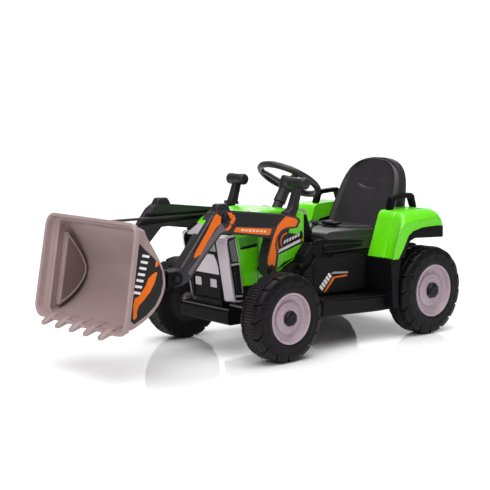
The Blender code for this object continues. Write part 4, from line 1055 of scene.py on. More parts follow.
nose_band = slab([(-0.0703, 0.3333), (-0.0523, 0.3524), (-0.056, 0.3545), (-0.079, 0.339), (-0.08, 0.3345)],
                 0.002, -HOOD_HALF, HOOD_HALF)
nose = slab([(-0.077, 0.152), (-0.0805, 0.158), (-0.0865, 0.245), (-0.0985, 0.315), (-0.101, 0.322),
             (-0.098, 0.3275), (-0.0703, 0.345), (-0.0703, 0.152)], 0.002, -0.0645, 0.0645)
piece("fascia_frame", pooled(nose, nose_band), BLACK, replaces=["front_fascia"], bevel=0.0014)


def front_plate(outline, y0, y1, radius=0.0, steps=4):
    """An outline of (x, z) points drawn out along y; ahead of the axle it leans with the nose."""
    if radius:
        outline = rounded(outline, radius, steps)
    follow = lean if y0 < 0.0 else (lambda z: 0.0)
    return loft([[(x, y + follow(z), z) for x, z in outline] for y in (y0, y1)])


crown = []
for y, z, half in ((-0.1, 0.3265, 0.064), (-0.097, 0.329, 0.0645), (-0.08, 0.34, 0.0645),
                   (-0.066, 0.3492, 0.063), (-0.06, 0.3535, 0.061)):
    crown.append([(-half, y, z), (0.0, y - 0.0006, z + 0.0012), (half, y, z),
                  (half, y - 0.0014, z + 0.0022), (0.0, y - 0.002, z + 0.0036),
                  (-half, y - 0.0014, z + 0.0022)])
piece("nose_trim", loft(crown), TRIM, bevel=0.0008)
NOSE_PLATE = [(-0.062, 0.224), (0.062, 0.224), (0.06, 0.24), (0.0535, 0.264), (0.044, 0.279),
              (-0.044, 0.279), (-0.0535, 0.264), (-0.06, 0.24)]
BROW_PLATE = [(-0.056, 0.288), (0.056, 0.288), (0.058, 0.309), (-0.058, 0.309)]
BROW_SLOT = rectangle(-0.06, 0.06, 0.312, 0.3215)
piece("nose_plate", front_plate(NOSE_PLATE, -0.078, -0.0825, 0.005), TRIM, bevel=0.0012)
piece("brow_plate", front_plate(BROW_PLATE, -0.078, -0.0815, 0.003), GREY_PRINT, bevel=0.0008)
piece("brow_slot", front_plate(BROW_SLOT, -0.078, -0.0806, 0.002), PIT_BLACK, bevel=0.0004)
brow_ribs = [front_plate(rectangle(x, x + 0.0014, 0.29, 0.307), -0.081, -0.0822)
             for x in (-0.042, -0.028, -0.014, 0.0, 0.014, 0.028, 0.042)]
piece("brow_ribs", pooled(*brow_ribs), GREY_AND_HIGHLIGHT, bevel=0.0003)
for side_name, side in SIDES:
    ring = rounded(rectangle(side * 0.0165, side * 0.0495, 0.183, 0.213), 0.004)
    piece(f"lamp_frame_{side_name}", front_plate(ring, -0.0785, -0.0808), PIT_BLACK, bevel=0.0008)
    face = rectangle(side * 0.02, side * 0.046, 0.1865, 0.2095)
    lamp = front_plate(face, -0.079, -0.0822, 0.003)
    ridges = [front_plate(rectangle(side * x, side * (x + 0.0012), 0.1875, 0.2085),
                          -0.0818, -0.0828) for x in (0.024, 0.0285, 0.033, 0.0375, 0.042)]
    piece(f"fog_lamp_glass_{side_name}", pooled(lamp, *ridges), LAMP, replaces=[f"fog_lamp_{side_name}"],
          bevel=0.0006)
SIDE_POSTS = [(0.052, 0.16), (0.062, 0.16), (0.0635, 0.21), (0.054, 0.218)]
posts = [front_plate([(side * x, z) for x, z in SIDE_POSTS], -0.079, -0.083, 0.002) for _, side in SIDES]
piece("nose_posts", pooled(*posts), BLACK, bevel=0.001)
for name, z0, z1, half in (("upper", 0.172, 0.176, 0.052), ("lower", 0.161, 0.164, 0.048)):
    piece(f"grille_slot_{name}", front_plate(rectangle(-half, half, z0, z1), -0.0785, -0.0806, 0.0012),
          PIT_BLACK, bevel=0.0003)

LAMP_COLUMN = [(-0.077, 0.15), (-0.1085, 0.315), (-0.106, 0.329), (-0.094, 0.335), (-0.064, 0.335),
               (-0.056, 0.329), (-0.029, 0.148)]
BACKING = [(-0.0655, 0.156), (-0.096, 0.313), (-0.09, 0.3265), (-0.062, 0.33), (-0.0578, 0.327),
           (-0.0318, 0.153)]
LAMP_GLASS = (
    # name, outline, the pale line behind it, the ledge under it
    ("upper", [(-0.0741, 0.2628), (-0.0885, 0.318), (-0.065, 0.324), (-0.05, 0.26)],
     [(-0.0478, 0.259), (-0.0625, 0.325), (-0.06, 0.3255), (-0.045, 0.259)],
     [(-0.082, 0.257), (-0.047, 0.2575), (-0.0465, 0.253), (-0.0815, 0.2515)]),
    ("lower", [(-0.057, 0.174), (-0.071, 0.244), (-0.047, 0.244), (-0.0365, 0.172)],
     [(-0.0345, 0.172), (-0.0448, 0.244), (-0.0422, 0.244), (-0.032, 0.172)],
     [(-0.0655, 0.169), (-0.035, 0.1675), (-0.0345, 0.163), (-0.065, 0.164)]),
)


def chamfered(bm):
    """Turns the outer half of a lamp column's front back, so that its face looks forward and outward."""
    for v in bm.verts:
        front = -0.077 - 0.1909 * (v.co.z - 0.15)
        outward = smoothstep(0.07, 0.094, abs(v.co.x))
        v.co.y += 0.014 * outward * max(0.0, 1.0 - max(0.0, v.co.y - front) / 0.03)
    return bm


for side_name, side in SIDES:
    liner = slab(LAMP_COLUMN, 0.009, side * 0.0648, side * 0.07, steps=6)
    piece(f"column_liner_{side_name}", liner, BLACK, bevel=0.0012)
    column = slab(LAMP_COLUMN, 0.009, side * 0.0702, side * 0.095, steps=6)
    piece(f"lamp_column_{side_name}", chamfered(column), TRIM, replaces=[f"headlight_column_{side_name}"],
          bevel=0.003, segments=4, smooth=40.0)
    backing = slab(BACKING, 0.005, side * 0.093, side * 0.0962, 0.0004, 0.0026, steps=5)
    piece(f"lamp_backing_{side_name}", chamfered(backing), GLOSS_BLACK, bevel=0.0004)
    for part, outline, line, under in LAMP_GLASS:
        middle = sum((Vector(p) for p in outline), Vector((0.0, 0.0))) / len(outline)
        stripe = [middle + (Vector(p) - middle) * 0.62 for p in outline]
        glass = slab(outline, 0.003, side * 0.094, side * 0.0966)
        stripe = slab(stripe, 0.0015, side * 0.095, side * 0.097, steps=3)
        replaced = [f"headlight_lens_{side_name}"] if part == "upper" else []
        piece(f"lamp_glass_{part}_{side_name}", chamfered(pooled(glass, stripe)), LENS, replaces=replaced,
              bevel=0.0005)
        strip = slab(line, 0.0006, side * 0.0945, side * 0.0969, steps=3)
        ledge = slab(under, 0.001, side * 0.0945, side * 0.098, steps=3)
        piece(f"lamp_chrome_{part}_{side_name}", chamfered(pooled(strip, ledge)), TRIM, bevel=0.0004)

bumper = slab([(-0.086, 0.09), (-0.0935, 0.098), (-0.0935, 0.126), (-0.087, 0.134), (-0.045, 0.134),
               (-0.04, 0.128), (-0.042, 0.09)], 0.005, -0.104, 0.104)
link_block = block(-0.058, 0.058, -0.076, -0.048, 0.128, 0.1517)
ribs = []
for z in (0.101, 0.109, 0.123):
    ribs.append(front_plate(rectangle(-0.098, 0.098, z, z + 0.0026), -0.0925, -0.0936, 0.001, 3))
for x in (-0.07, 0.07):
    ribs.append(front_plate([(x - 0.014, 0.101), (x + 0.014, 0.101), (x + 0.01, 0.124), (x - 0.01, 0.124)],
                            -0.0925, -0.0936, 0.003))
piece("bumper_bar", pooled(bumper, link_block, *ribs), BLACK, replaces=["front_bumper"], bevel=0.0026,
      smooth=34.0)
# A pale line along the bumper's top front edge: painted highlight.
lip = tube([(-0.1, -0.0885, 0.1325), (0.1, -0.0885, 0.1325)], 0.0016, 8)
piece("bumper_edge_highlight", lip, GREY_AND_HIGHLIGHT)

# ---------------------------------------------------------------- dashboard

dash = slab([(0.2003, 0.264), (0.2003, 0.376), (0.212, 0.372), (0.2275, 0.33), (0.2275, 0.264)], 0.004,
            -HOOD_HALF, HOOD_HALF)
piece("dash_panel", dash, BLACK, replaces=["dashboard"], bevel=0.0016)
slope = Vector((0.0, 0.212 - 0.2275, 0.372 - 0.33)).normalized()
outward = Vector((0.0, slope.z, -slope.y))


def on_dash(x, up, out=0.0):
    """A point this far up the dashboard's slope and this far off it."""
    return Vector((x, 0.2275, 0.33)) + slope * up + outward * out


def dash_plate(x0, x1, up0, up1, thick):
    """A rounded rectangle that lies on the dashboard's slope."""
    corners = rounded(rectangle(x0, x1, up0, up1), 0.003)
    return loft([[on_dash(x, up, out) for x, up in corners] for out in (-0.001, thick)])


piece("dash_radio", dash_plate(-0.03, 0.034, 0.01, 0.036, 0.0012), GLOSS_BLACK, bevel=0.0005)
piece("dash_screen", dash_plate(-0.012, 0.016, 0.016, 0.031, 0.0016), LENS, bevel=0.0003)
dots = [lathe([(0.0, 0.0), (0.0, 0.003), (0.0014, 0.0024), (0.0016, 0.0)], 16, on_dash(x, 0.022, 0.0008),
              outward) for x in (-0.022, 0.026)]
piece("dash_dots", pooled(*dots), GREY_AND_HIGHLIGHT, bevel=0.0002)
collar = lathe([(-0.001, 0.009), (-0.001, 0.012), (0.0012, 0.0116), (0.0016, 0.0104), (0.001, 0.009)], 32,
               on_dash(-0.05, 0.022), outward)
piece("power_collar", collar, TRIM)
lever = pooled(
    lathe([(-0.0065, 0.0), (-0.0065, 0.0082), (-0.005, 0.009), (0.005, 0.009), (0.0065, 0.0082),
           (0.0065, 0.0)], 32, (0.085, 0.226, 0.322), (1.0, 0.0, 0.0)),
    tube([(0.085, 0.228, 0.324), (0.085, 0.24, 0.334), (0.085, 0.25, 0.342)], [0.0044, 0.0036, 0.0034], 16),
    lathe([(-0.0082, 0.0), (-0.0078, 0.003), (-0.006, 0.0062), (-0.002, 0.0088), (0.002, 0.0088),
           (0.006, 0.0062), (0.0078, 0.003), (0.0082, 0.0)], 24, (0.085, 0.252, 0.344), (0.0, 0.0, 1.0)),
)
piece("gear_stick", lever, GLOSS_BLACK, "gear", ["gear_lever"])
for side_name, side in SIDES:
    top = slab([(0.198, 0.368), (0.205, 0.388), (0.209, 0.388), (0.215, 0.368)], 0.002, side * 0.064,
               side * 0.0915)
    piece(f"dash_corner_{side_name}", top, GREY_PRINT, bevel=0.0008)

# ---------------------------------------------------------------- body

def side_plate(outline, side, inner, outer, radius=0.003, sink=0.0, border=0.004):
    """A slab on one side of the body, between two distances from its middle."""
    return slab(outline, radius, side * inner, side * outer, sink, border)


SIDE_FACE = 0.1417
PANEL = [(0.2, 0.148), (0.2, 0.262), (0.2209, 0.2563), (0.2254, 0.2487), (0.2581, 0.2481), (0.2791, 0.2564),
         (0.3434, 0.2549), (0.38, 0.252), (0.406, 0.236), (0.406, 0.148)]
for side_name, side in SIDES:
    panel = side_plate(PANEL, side, 0.136, 0.1425, 0.004, 0.0008, 0.004)
    piece(f"side_panel_{side_name}", panel, BLACK, bevel=0.001)
    upper = side_plate([(0.239, 0.265), (0.239, 0.28), (0.26, 0.285), (0.39, 0.28), (0.4, 0.272),
                        (0.34, 0.267)], side, 0.132, 0.1352, 0.004)
    ledge = side_plate([(0.19, 0.294), (0.2, 0.303), (0.24, 0.3025), (0.395, 0.289), (0.402, 0.283),
                        (0.24, 0.288)], side, 0.132, 0.1375, 0.003)
    piece(f"side_ledges_{side_name}", pooled(upper, ledge), BLACK, bevel=0.0014)
    stripe = side_plate([(0.2338, 0.1532), (0.2706, 0.1929), (0.3272, 0.194), (0.3285, 0.1895),
                         (0.2776, 0.1887), (0.2383, 0.1504)], side, SIDE_FACE - 0.0005, SIDE_FACE + 0.001,
                        0.001)
    printed(f"side_stripe_{side_name}", stripe, ORANGE)
    grey = side_plate([(0.2587, 0.2023), (0.2725, 0.2076), (0.3321, 0.2027), (0.3322, 0.1977)],
                      side, SIDE_FACE - 0.0005, SIDE_FACE + 0.001, 0.001)
    printed(f"side_grey_{side_name}", grey, GREY_PRINT)
    letters = slanted_bars(0.225, 0.1557, 0.2656, 0.196, 0.0115, 5, 0.14, -0.0115, side, SIDE_FACE, 0.0012)
    printed(f"side_bars_{side_name}", letters, WHITE)
    bolts = [lathe([(0.0, 0.0), (0.0, 0.0042), (0.0016, 0.004), (0.0026, 0.0028), (0.0028, 0.0)], 16,
                   (side * 0.144, y, z), (side, 0.0, 0.0)) for y, z in ((0.176, 0.157), (0.192, 0.165))]
    piece(f"side_bolts_{side_name}", pooled(*bolts), STEEL)
    cover = side_plate([(0.15, 0.144), (0.15, 0.212), (0.17, 0.23), (0.198, 0.238), (0.198, 0.144)], side,
                       0.136, 0.144, 0.005, 0.0014, 0.005)
    vents = [side_plate(rectangle(0.16, 0.188, z, z + 0.004), side, 0.142, 0.1438, 0.0015)
             for z in (0.172, 0.182, 0.192, 0.202, 0.212)]
    piece(f"engine_cover_{side_name}", pooled(cover, *vents), BLACK, bevel=0.0012)
    ribs = []
    for k in range(9):
        y = 0.185 + 0.0185 * k
        z = 0.144 - 0.01 * (y - 0.162) / 0.183
        ribs.append(tube([(side * 0.145, y, z + 0.0006), (side * 0.205, y, z + 0.0006)], 0.0018, 8))
    ribs.append(tube([(side * 0.2115, 0.164, 0.1446), (side * 0.2125, 0.345, 0.1346),
                      (side * 0.2125, 0.45, 0.1306)], 0.0017, 8))
    piece(f"step_ribs_{side_name}", pooled(*ribs), BLACK)
    post = slab([(0.425, 0.095), (0.4115, 0.2405), (0.458, 0.2405), (0.4495, 0.2), (0.4465, 0.132),
                 (0.4495, 0.095)], 0.004, side * 0.134, side * 0.2364)
    grooves = [side_plate([(0.424, z), (0.443, z), (0.443, z + 0.003), (0.4235, z + 0.003)], side, 0.235,
                          0.2372, 0.001) for z in (0.15, 0.162, 0.174, 0.186, 0.198)]
    piece(f"rear_post_{side_name}", pooled(post, *grooves), BLACK, bevel=0.0022)

tail = []
for z in (0.165, 0.18, 0.195, 0.21):
    tail.append(front_plate(rectangle(-0.11, 0.11, z, z + 0.006), 0.67, 0.6735, 0.002))
piece("tail_slats", pooled(*tail), BLACK, bevel=0.0012)
for side_name, side in SIDES:
    lens = front_plate(rectangle(side * 0.07, side * 0.112, 0.222, 0.234), 0.669, 0.6736, 0.003)
    piece(f"tail_lamp_{side_name}", lens, RED, bevel=0.001)

pedal = slab([(0.262, 0.1405), (0.262, 0.149), (0.197, 0.186), (0.191, 0.181), (0.252, 0.1425)], 0.0025,
             -0.198, -0.152)
run = Vector((0.0, 0.197 - 0.262, 0.186 - 0.149)).normalized()
treads = []
for k in range(6):
    start = Vector((-0.194, 0.256, 0.1526)) + run * 0.0095 * k
    treads.append(tube([start, start + Vector((0.038, 0.0, 0.0))], 0.0011, 8))
piece("pedal_pad", pooled(pedal, *treads), BLACK, "pedal", ["accelerator_pedal"], 0.001)

# ---------------------------------------------------------------- seat

SEAT_HALF = 0.1345
SEAT_TOP = 0.322
CUSHION_ROLL = 0.0075
SEAT_FRONT = 0.2405


def rolled(gap, radius):
    """How far a rolled edge of this radius falls away at this distance in from it."""
    return radius * (1.0 - math.sqrt(max(0.0, 1.0 - (1.0 - min(gap, radius) / radius) ** 2)))


def seat_cushion():
    """A blow-moulded cushion: rolled front edge, raised sides, a shallow dish and a seam groove."""
    line = catmull([(SEAT_FRONT, 0.264), (SEAT_FRONT, 0.29), (0.2425, 0.306), (0.248, 0.315), (0.258, 0.32),
                    (0.272, SEAT_TOP), (0.33, SEAT_TOP), (0.4, SEAT_TOP), (0.47, SEAT_TOP),
                    (0.525, SEAT_TOP), (0.56, 0.318), (0.59, 0.31)], 5)
    sections = []
    shares = [-1.0, -0.997, -0.985, -0.96, -0.92, -0.86, -0.78, -0.7, -0.6, -0.45, -0.3, -0.15, 0.0]
    shares += [-s for s in reversed(shares[:-1])]
    for share in shares:
        x = SEAT_HALF * share
        edge = (1.0 - abs(share)) * SEAT_HALF
        shrink = rolled(edge, CUSHION_ROLL)
        ring = []
        for p in line:
            y, z = p.x, p.y
            dish = 0.003 * smoothstep(0.262, 0.3, y) * smoothstep(1.0, 0.55, abs(share))
            groove = 0.0012 * math.exp(-((y - 0.264) / 0.0022) ** 2)
            ring.append((x, max(y, SEAT_FRONT + shrink), max(0.2645,
                    min(z - dish - groove, SEAT_TOP - shrink))))
        ring += [(x, 0.59 - shrink, 0.264), (x, SEAT_FRONT + shrink, 0.264)]
        sections.append(ring)
    return loft(sections)


BACK_UP = Vector((0.0, 0.379, 0.9255)).normalized()
BACK_OUT = Vector((0.0, -0.9255, 0.379)).normalized()
BACK_FOOT = Vector((0.0, 0.512, 0.303))
BACK_HEIGHT = 0.236
BACK_ROLL = 0.012
BACK_HALVES = ((0.0, 0.134), (0.05, 0.1335), (0.11, 0.127), (0.155, 0.119), (0.185, 0.108), (0.205, 0.094),
               (0.218, 0.078), (0.226, 0.062), (0.232, 0.044), (BACK_HEIGHT, 0.022))


BACK_RIM = [(1.0, 0.12), (1.0, 0.35), (1.0, 0.62), (0.995, 0.84), (0.97, 0.96), (0.9, 1.0), (0.6, 1.0),
            (0.3, 1.0), (0.0, 1.0)]


def seat_backrest():
    """The backrest: a rounded shell with a raised border, a sunk crescent and a seam down its foot."""
    halves = catmull(BACK_HALVES, 14)
    sections = []
    for point in halves:
        up, half = point.x, max(0.01, point.y)
        thick = 0.03 + 0.16 * (BACK_HEIGHT - up)
        top_gap = BACK_HEIGHT - up
        roll = rolled(top_gap, BACK_ROLL)
        ring = []
        columns = 56
        for k in range(columns + 1):
            share = -1.0 + 2.0 * k / columns
            share = math.copysign(abs(share) ** 0.9, share)
            x = (half - 0.002) * share
            edge = min(half - abs(x), top_gap + 0.3 * (half - abs(x)))
            out = 0.004 * math.exp(-((edge - 0.013) / 0.005) ** 2)
            out -= 0.007 * (1.0 - smoothstep(0.0, 0.01, edge))
            out -= 0.0035 * smoothstep(0.016, 0.026, edge)
            out -= 0.0014 * math.exp(-(x / 0.0026) ** 2) * smoothstep(0.062, 0.04, up)
            low_edge = 0.135 + 6.5 * x * x
            sunk = smoothstep(0.0, 0.0045, up - low_edge) * smoothstep(0.0, 0.009, 0.156 - up)
            out -= 0.0055 * sunk * smoothstep(0.052, 0.046, abs(x))
            ring.append(BACK_FOOT + BACK_UP * up + BACK_OUT * (out - roll) + Vector((x, 0.0, 0.0)))
        for share, depth in BACK_RIM + [(-s, d) for s, d in reversed(BACK_RIM[:-1])]:
            away = thick * depth - roll * (2.0 * depth - 1.0)
            ring.append(BACK_FOOT + BACK_UP * up + Vector((half * share, away, 0.0)))
        sections.append(ring)
    return loft(sections)


piece("seat_cushion", seat_cushion(), SEAT_BLACK, replaces=["seat"], smooth=60.0)
piping = tube([(-SEAT_HALF + 0.0008, 0.56, 0.3), (-SEAT_HALF + 0.0008, 0.252, 0.3),
               (-SEAT_HALF + 0.01, 0.2415, 0.3), (SEAT_HALF - 0.01, 0.2415, 0.3),
               (SEAT_HALF - 0.0008, 0.252, 0.3), (SEAT_HALF - 0.0008, 0.56, 0.3)], 0.0018, 8)
piece("seat_piping", piping, SEAT_BLACK, smooth=60.0)
piece("seat_backrest", seat_backrest(), SEAT_BLACK, smooth=60.0)

belt_left = catmull([(-0.118, 0.447, 0.0), (-0.07, 0.424, 0.0), (-0.006, 0.3995, 0.0), (0.018, 0.3995, 0.0),
                     (0.07, 0.432, 0.0), (0.118, 0.467, 0.0)], 8)
sections = []
for k, p in enumerate(belt_left):
    sag = 0.0014 * smoothstep(0.118, 0.06, abs(p.x))
    z = SEAT_TOP + 0.0006 - sag
    sections.append([(p.x, p.y - 0.0145, z), (p.x, p.y - 0.0135, z + 0.0016), (p.x, p.y, z + 0.002),
                     (p.x, p.y + 0.0135, z + 0.0016), (p.x, p.y + 0.0145, z), (p.x, p.y, z - 0.0002)])
piece("belt_strap", loft(sections), WEBBING, replaces=["seat_belt"], smooth=50.0)
catch = pooled(
    block(-0.02, 0.016, 0.382, 0.417, SEAT_TOP + 0.003, SEAT_TOP + 0.013),
    block(0.0155, 0.034, 0.385, 0.414, SEAT_TOP + 0.0035, SEAT_TOP + 0.011),
)
press = block(-0.013, 0.004, 0.39, 0.409, SEAT_TOP + 0.012, SEAT_TOP + 0.0142)
piece("belt_catch", catch, GLOSS_BLACK, replaces=["belt_buckle"], bevel=0.003, segments=4)
piece("belt_press", press, GREY_AND_HIGHLIGHT, bevel=0.0008)
anchors = [lathe([(-0.002, 0.0), (-0.002, 0.012), (0.001, 0.0118), (0.0026, 0.01), (0.0034, 0.0)], 24,
                 (x, y, SEAT_TOP), (0.0, 0.0, 1.0)) for x, y in ((-0.118, 0.447), (0.118, 0.467))]
piece("belt_anchors", pooled(*anchors), BLACK, smooth=35.0)

# ---------------------------------------------------------------- fenders

FENDER_TOP = ((0.422, 0.241), (0.44, 0.29), (0.458, 0.34), (0.466, 0.361), (0.476, 0.3715), (0.5, 0.375),
              (0.53, 0.3765), (0.56, 0.377), (0.59, 0.377), (0.612, 0.373), (0.624, 0.36), (0.63, 0.33))
FENDER_EDGE = ((0.407, 0.241), (0.416, 0.275), (0.428, 0.312), (0.438, 0.328), (0.4546, 0.3392),
               (0.48, 0.3445), (0.5127, 0.3495), (0.545, 0.352), (0.58, 0.354), (0.604, 0.353),
               (0.618, 0.345), (0.6255, 0.328))
FENDER_UNDER = ((0.429, 0.241), (0.432, 0.244), (0.4377, 0.2521), (0.4503, 0.2685), (0.461, 0.288),
                (0.4713, 0.3061), (0.4908, 0.318), (0.532, 0.3265), (0.565, 0.3275), (0.595, 0.3275),
                (0.62, 0.3265))
FENDER_ACROSS = ((0.1355, 0.0, 0.0), (0.15, 0.0, 0.0), (0.17, 0.0, 0.0), (0.188, 0.0, 0.0),
                 (0.196, 0.0, 0.0004), (0.1976, 0.0, 0.0022), (0.1992, 0.0, 0.0026), (0.2008, 0.0, 0.0022),
                 (0.2024, 0.0, 0.0004), (0.208, 0.0, 0.0), (0.214, 0.02, 0.0), (0.219, 0.08, 0.0),
                 (0.224, 0.16, 0.0), (0.229, 0.25, 0.0), (0.234, 0.36, 0.0), (0.2385, 0.49, 0.0),
                 (0.2425, 0.64, 0.0), (0.2455, 0.79, 0.0), (0.248, 0.92, 0.0), (0.2495, 1.0, 0.0))


def fender(side):
    """A crowned mudguard with a groove along it and a thin rolled lip."""
    top = catmull(FENDER_TOP, 5)
    edge = catmull(FENDER_EDGE, 5)
    under = resampled(FENDER_UNDER, len(top))
    sections = []
    for a, b, c in zip(top, edge, under):
        down = (c - a).normalized()
        ring = []
        for x, drop, depth in FENDER_ACROSS:
            spot = a.lerp(b, drop) + down * depth
            ring.append((side * x, spot.x, spot.y))
        for share, x in ((0.25, 0.2496), (0.6, 0.2497), (0.82, 0.2498), (0.88, 0.2508), (0.97, 0.251),
                         (1.0, 0.2504)):
            spot = b.lerp(c, share)
            ring.append((side * x, spot.x, spot.y))
        for share, x in ((1.0, 0.247), (0.9, 0.2455)):
            spot = b.lerp(c, share)
            ring.append((side * x, spot.x, spot.y))
        spot = a.lerp(c, 0.85)
        ring.append((side * 0.1355, spot.x, spot.y))
        sections.append(ring)
    return loft(sections)


for side_name, side in SIDES:
    piece(f"mudguard_{side_name}", fender(side), GREEN, replaces=[f"fender_{side_name}"], smooth=44.0)
    arch = slab([(0.433, 0.241), (0.439, 0.2512), (0.4516, 0.2676), (0.4624, 0.2873), (0.4724, 0.3052),
                 (0.4916, 0.317), (0.5322, 0.3256), (0.565, 0.3266), (0.595, 0.3266), (0.622, 0.3255),
                 (0.64, 0.3245), (0.641, 0.289), (0.512, 0.295), (0.492, 0.288), (0.478, 0.272),
                 (0.468, 0.241)], 0.004, side * 0.1355, side * 0.24)
    slats = [front_plate(rectangle(side * 0.142, side * 0.234, z, z + 0.0045), 0.639, 0.642, 0.001)
             for z in (0.296, 0.304, 0.312)]
    piece(f"arch_liner_{side_name}", pooled(arch, *slats), BLACK, replaces=[f"rear_arch_{side_name}"],
          bevel=0.0016)
    grip = slab([(0.484, 0.3732), (0.4936, 0.4085), (0.503, 0.4165), (0.579, 0.4212), (0.5915, 0.414),
                 (0.604, 0.3752), (0.591, 0.377), (0.5805, 0.403), (0.573, 0.4075), (0.5105, 0.4035),
                 (0.5065, 0.3995), (0.4975, 0.3748)], 0.007, side * 0.145, side * 0.167, steps=5)
    piece(f"fender_grip_{side_name}", grip, BLACK, replaces=[f"fender_handle_{side_name}"], bevel=0.004,
          segments=4)
    bars = []
    for k in range(4):
        y = 0.532 + 0.013 * k
        flat = [(side * x, y + run) for x, run in ((0.204, 0.0), (0.211, 0.002), (0.211, 0.0095),
                                                   (0.204, 0.0075))]
        bars.append(loft([[(*corner, z) for corner in flat] for z in (0.3774 - 0.0012, 0.3774)]))
    piece(f"fender_bars_{side_name}", pooled(*bars), BLACK_PRINT)

# ---------------------------------------------------------------- steering wheel

WHEEL = Vector((0.0, 0.228, 0.469))
RING_RADIUS = 0.09
GRIP_RADIUS = 0.0097
STEERING_AXIS = Vector((0.0, 0.514, 0.857)).normalized()
LATERAL = Vector((1.0, 0.0, 0.0))


def on_column(distance, across=0.0, down=0.0):
    """A point on the steering axis, counted from the centre of the wheel."""
    return WHEEL + STEERING_AXIS * distance + LATERAL * across + STEERING_AXIS.cross(LATERAL) * down


grips = [(GRIP_RADIUS * math.sin(turn), RING_RADIUS + GRIP_RADIUS * math.cos(turn))
         for turn in angles_round(16)]
parts = [lathe(grips, 96, on_column(0.0), STEERING_AXIS)]
for degrees in (90.0, 210.0, 330.0):
    sections = []
    for share, half, tall in ((0.06, 0.015, 0.0075), (0.25, 0.0125, 0.007), (0.5, 0.0105, 0.0062),
                              (0.75, 0.01, 0.0058), (0.96, 0.0115, 0.0062)):
        reach = RING_RADIUS * share
        out = Vector((math.cos(math.radians(degrees)), math.sin(math.radians(degrees))))
        across = Vector((-out.y, out.x))
        lift = -0.017 + 0.016 * smoothstep(0.0, 1.0, share)
        ring = []
        for angle in angles_round(16):
            flat = out * reach + across * half * math.cos(angle)
            ring.append(on_column(lift + tall * math.sin(angle), flat.x, flat.y))
        sections.append(ring)
    parts.append(loft(sections))
hub = [(-0.076, 0.0), (-0.076, 0.0178), (-0.07, 0.018), (-0.048, 0.0168), (-0.036, 0.0172), (-0.033, 0.02),
       (-0.03, 0.0212), (-0.006, 0.0238), (-0.001, 0.0242), (0.0014, 0.0234), (0.002, 0.0215),
       (0.0018, 0.0162), (-0.005, 0.0158), (-0.005, 0.0)]
parts.append(lathe(hub, 48, on_column(0.0), STEERING_AXIS))
piece("steering_grip", pooled(*parts), SEAT_BLACK, "steering", ["steering_wheel"], smooth=40.0)
cover = [(-0.15, 0.0), (-0.15, 0.017), (-0.13, 0.0165), (-0.11, 0.015), (-0.079, 0.0146), (-0.0778, 0.0136),
         (-0.0778, 0.0)]
piece("column_cover", lathe(cover, 40, on_column(0.0), STEERING_AXIS), SEAT_BLACK)
button = lathe([(0.0, 0.0), (0.0, 0.0146), (0.0085, 0.0148), (0.0105, 0.0138), (0.0118, 0.011),
                (0.0124, 0.006), (0.0125, 0.0)], 40, on_column(-0.0055), STEERING_AXIS)
piece("horn_cap", button, ORANGE, "horn", ["horn_button"])

# ---------------------------------------------------------------- floor, light and camera

CAMERA_AT = Vector((2.382, -2.1025, 0.6793))
CAMERA_TURN = math.radians(49.1)
CAMERA_TILT = math.radians(7.06)
CAMERA_LENS = 82.13


def floor_material():
    """Pale glossy sweep: soft mirror images fade into it."""
    mat = bpy.data.materials.new("studio_floor")
    mat.use_nodes = True
    tree = mat.node_tree
    tree.nodes.clear()
    out = tree.nodes.new("ShaderNodeOutputMaterial")
    matt = add_node(tree, "BsdfDiffuse", Color=(0.96, 0.96, 0.965, 1.0))
    gloss = add_node(tree, "BsdfGlossy", Color=(1.0, 1.0, 1.0, 1.0), Roughness=0.05)
    mix = add_node(tree, "MixShader", Fac=0.3)
    tree.links.new(remap(tree, noise(tree, 3.0), 0.3, 0.7, 0.02, 0.05), gloss.inputs["Roughness"])
    tree.links.new(matt.outputs[0], mix.inputs[1])
    tree.links.new(gloss.outputs[0], mix.inputs[2])
    tree.links.new(mix.outputs[0], out.inputs["Surface"])
    return mat


FLOOR_HALF = 12.0
FLOOR_GAP = 0.0006
bm = bmesh.new()
bmesh.ops.create_grid(bm, x_segments=4, y_segments=4, size=FLOOR_HALF)
bmesh.ops.translate(bm, verts=bm.verts, vec=(0.0, 0.0, -FLOOR_GAP))
floor = placed("floor", mesh_from(bm, "floor"))
floor.data.materials.append(floor_material())

AMBIENT = 0.3
BACKDROP = 1.15
BEHIND = Vector((-0.752, 0.651, 0.1)).normalized()
WALL = 0.85


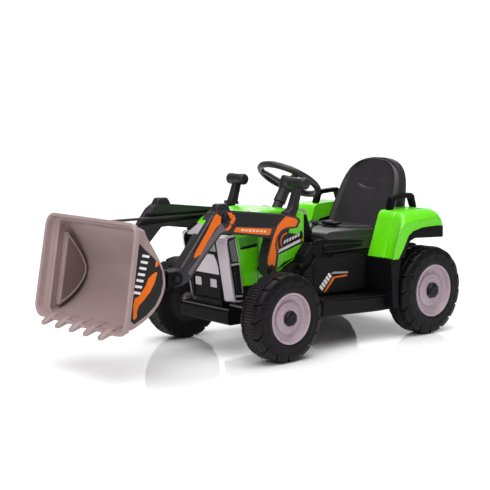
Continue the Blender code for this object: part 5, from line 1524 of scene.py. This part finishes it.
def studio_world():
    """A white room: the camera sees a bright backdrop, and a wall behind the object lights it most."""
    world = bpy.data.worlds.new("studio")
    world.use_nodes = True
    tree = world.node_tree
    background = tree.nodes["Background"]
    background.inputs["Color"].default_value = (1.0, 1.0, 1.0, 1.0)
    path = tree.nodes.new("ShaderNodeLightPath")
    towards = tree.nodes.new("ShaderNodeTexCoord")
    facing = tree.nodes.new("ShaderNodeVectorMath")
    facing.operation = "DOT_PRODUCT"
    facing.inputs[1].default_value = BEHIND
    tree.links.new(towards.outputs["Generated"], facing.inputs[0])
    wall = remap(tree, facing.outputs["Value"], 0.8, 0.92, AMBIENT, WALL)
    share = tree.nodes.new("ShaderNodeMix")
    share.inputs[3].default_value = BACKDROP
    tree.links.new(path.outputs["Is Camera Ray"], share.inputs[0])
    tree.links.new(wall, share.inputs[2])
    tree.links.new(share.outputs[0], background.inputs["Strength"])
    return world


bpy.context.scene.world = studio_world()


def light(name, kind, power, towards, at=(0.0, 0.0, 0.0)):
    """A light that shines along this direction; what it returns takes its size."""
    data = bpy.data.lights.new(name, kind)
    data.energy = power
    obj = placed(name, data)
    obj.location = at
    obj.rotation_euler = Vector(towards).to_track_quat("-Z", "Y").to_euler()
    return data


light("ceiling", "SUN", 3.3, (-0.15, 0.25, -1.0)).angle = math.radians(75.0)
for name, at, target, width, height, power in (
        ("key", (1.4, -2.6, 1.7), (0.0, -0.1, 0.2), 1.2, 0.8, 16.0),
        ("overhead", (0.2, 0.3, 2.2), (0.0, 0.0, 0.2), 2.0, 1.2, 16.0),
        ("rim_light", (-1.8, 1.6, 1.6), (0.0, 0.1, 0.2), 1.2, 1.2, 12.0)):
    softbox = light(name, "AREA", power, Vector(target) - Vector(at), at)
    softbox.shape, softbox.size, softbox.size_y = "RECTANGLE", width, height

camera = bpy.data.cameras.new("camera")
camera.lens = CAMERA_LENS
camera.sensor_width = 36.0
camera_object = placed("camera", camera)
camera_object.location = CAMERA_AT
camera_object.rotation_euler = (math.pi / 2.0 - CAMERA_TILT, 0.0, CAMERA_TURN)
bpy.context.scene.camera = camera_object
bpy.context.scene.view_settings.view_transform = "Standard"

bpy.context.view_layer.update()
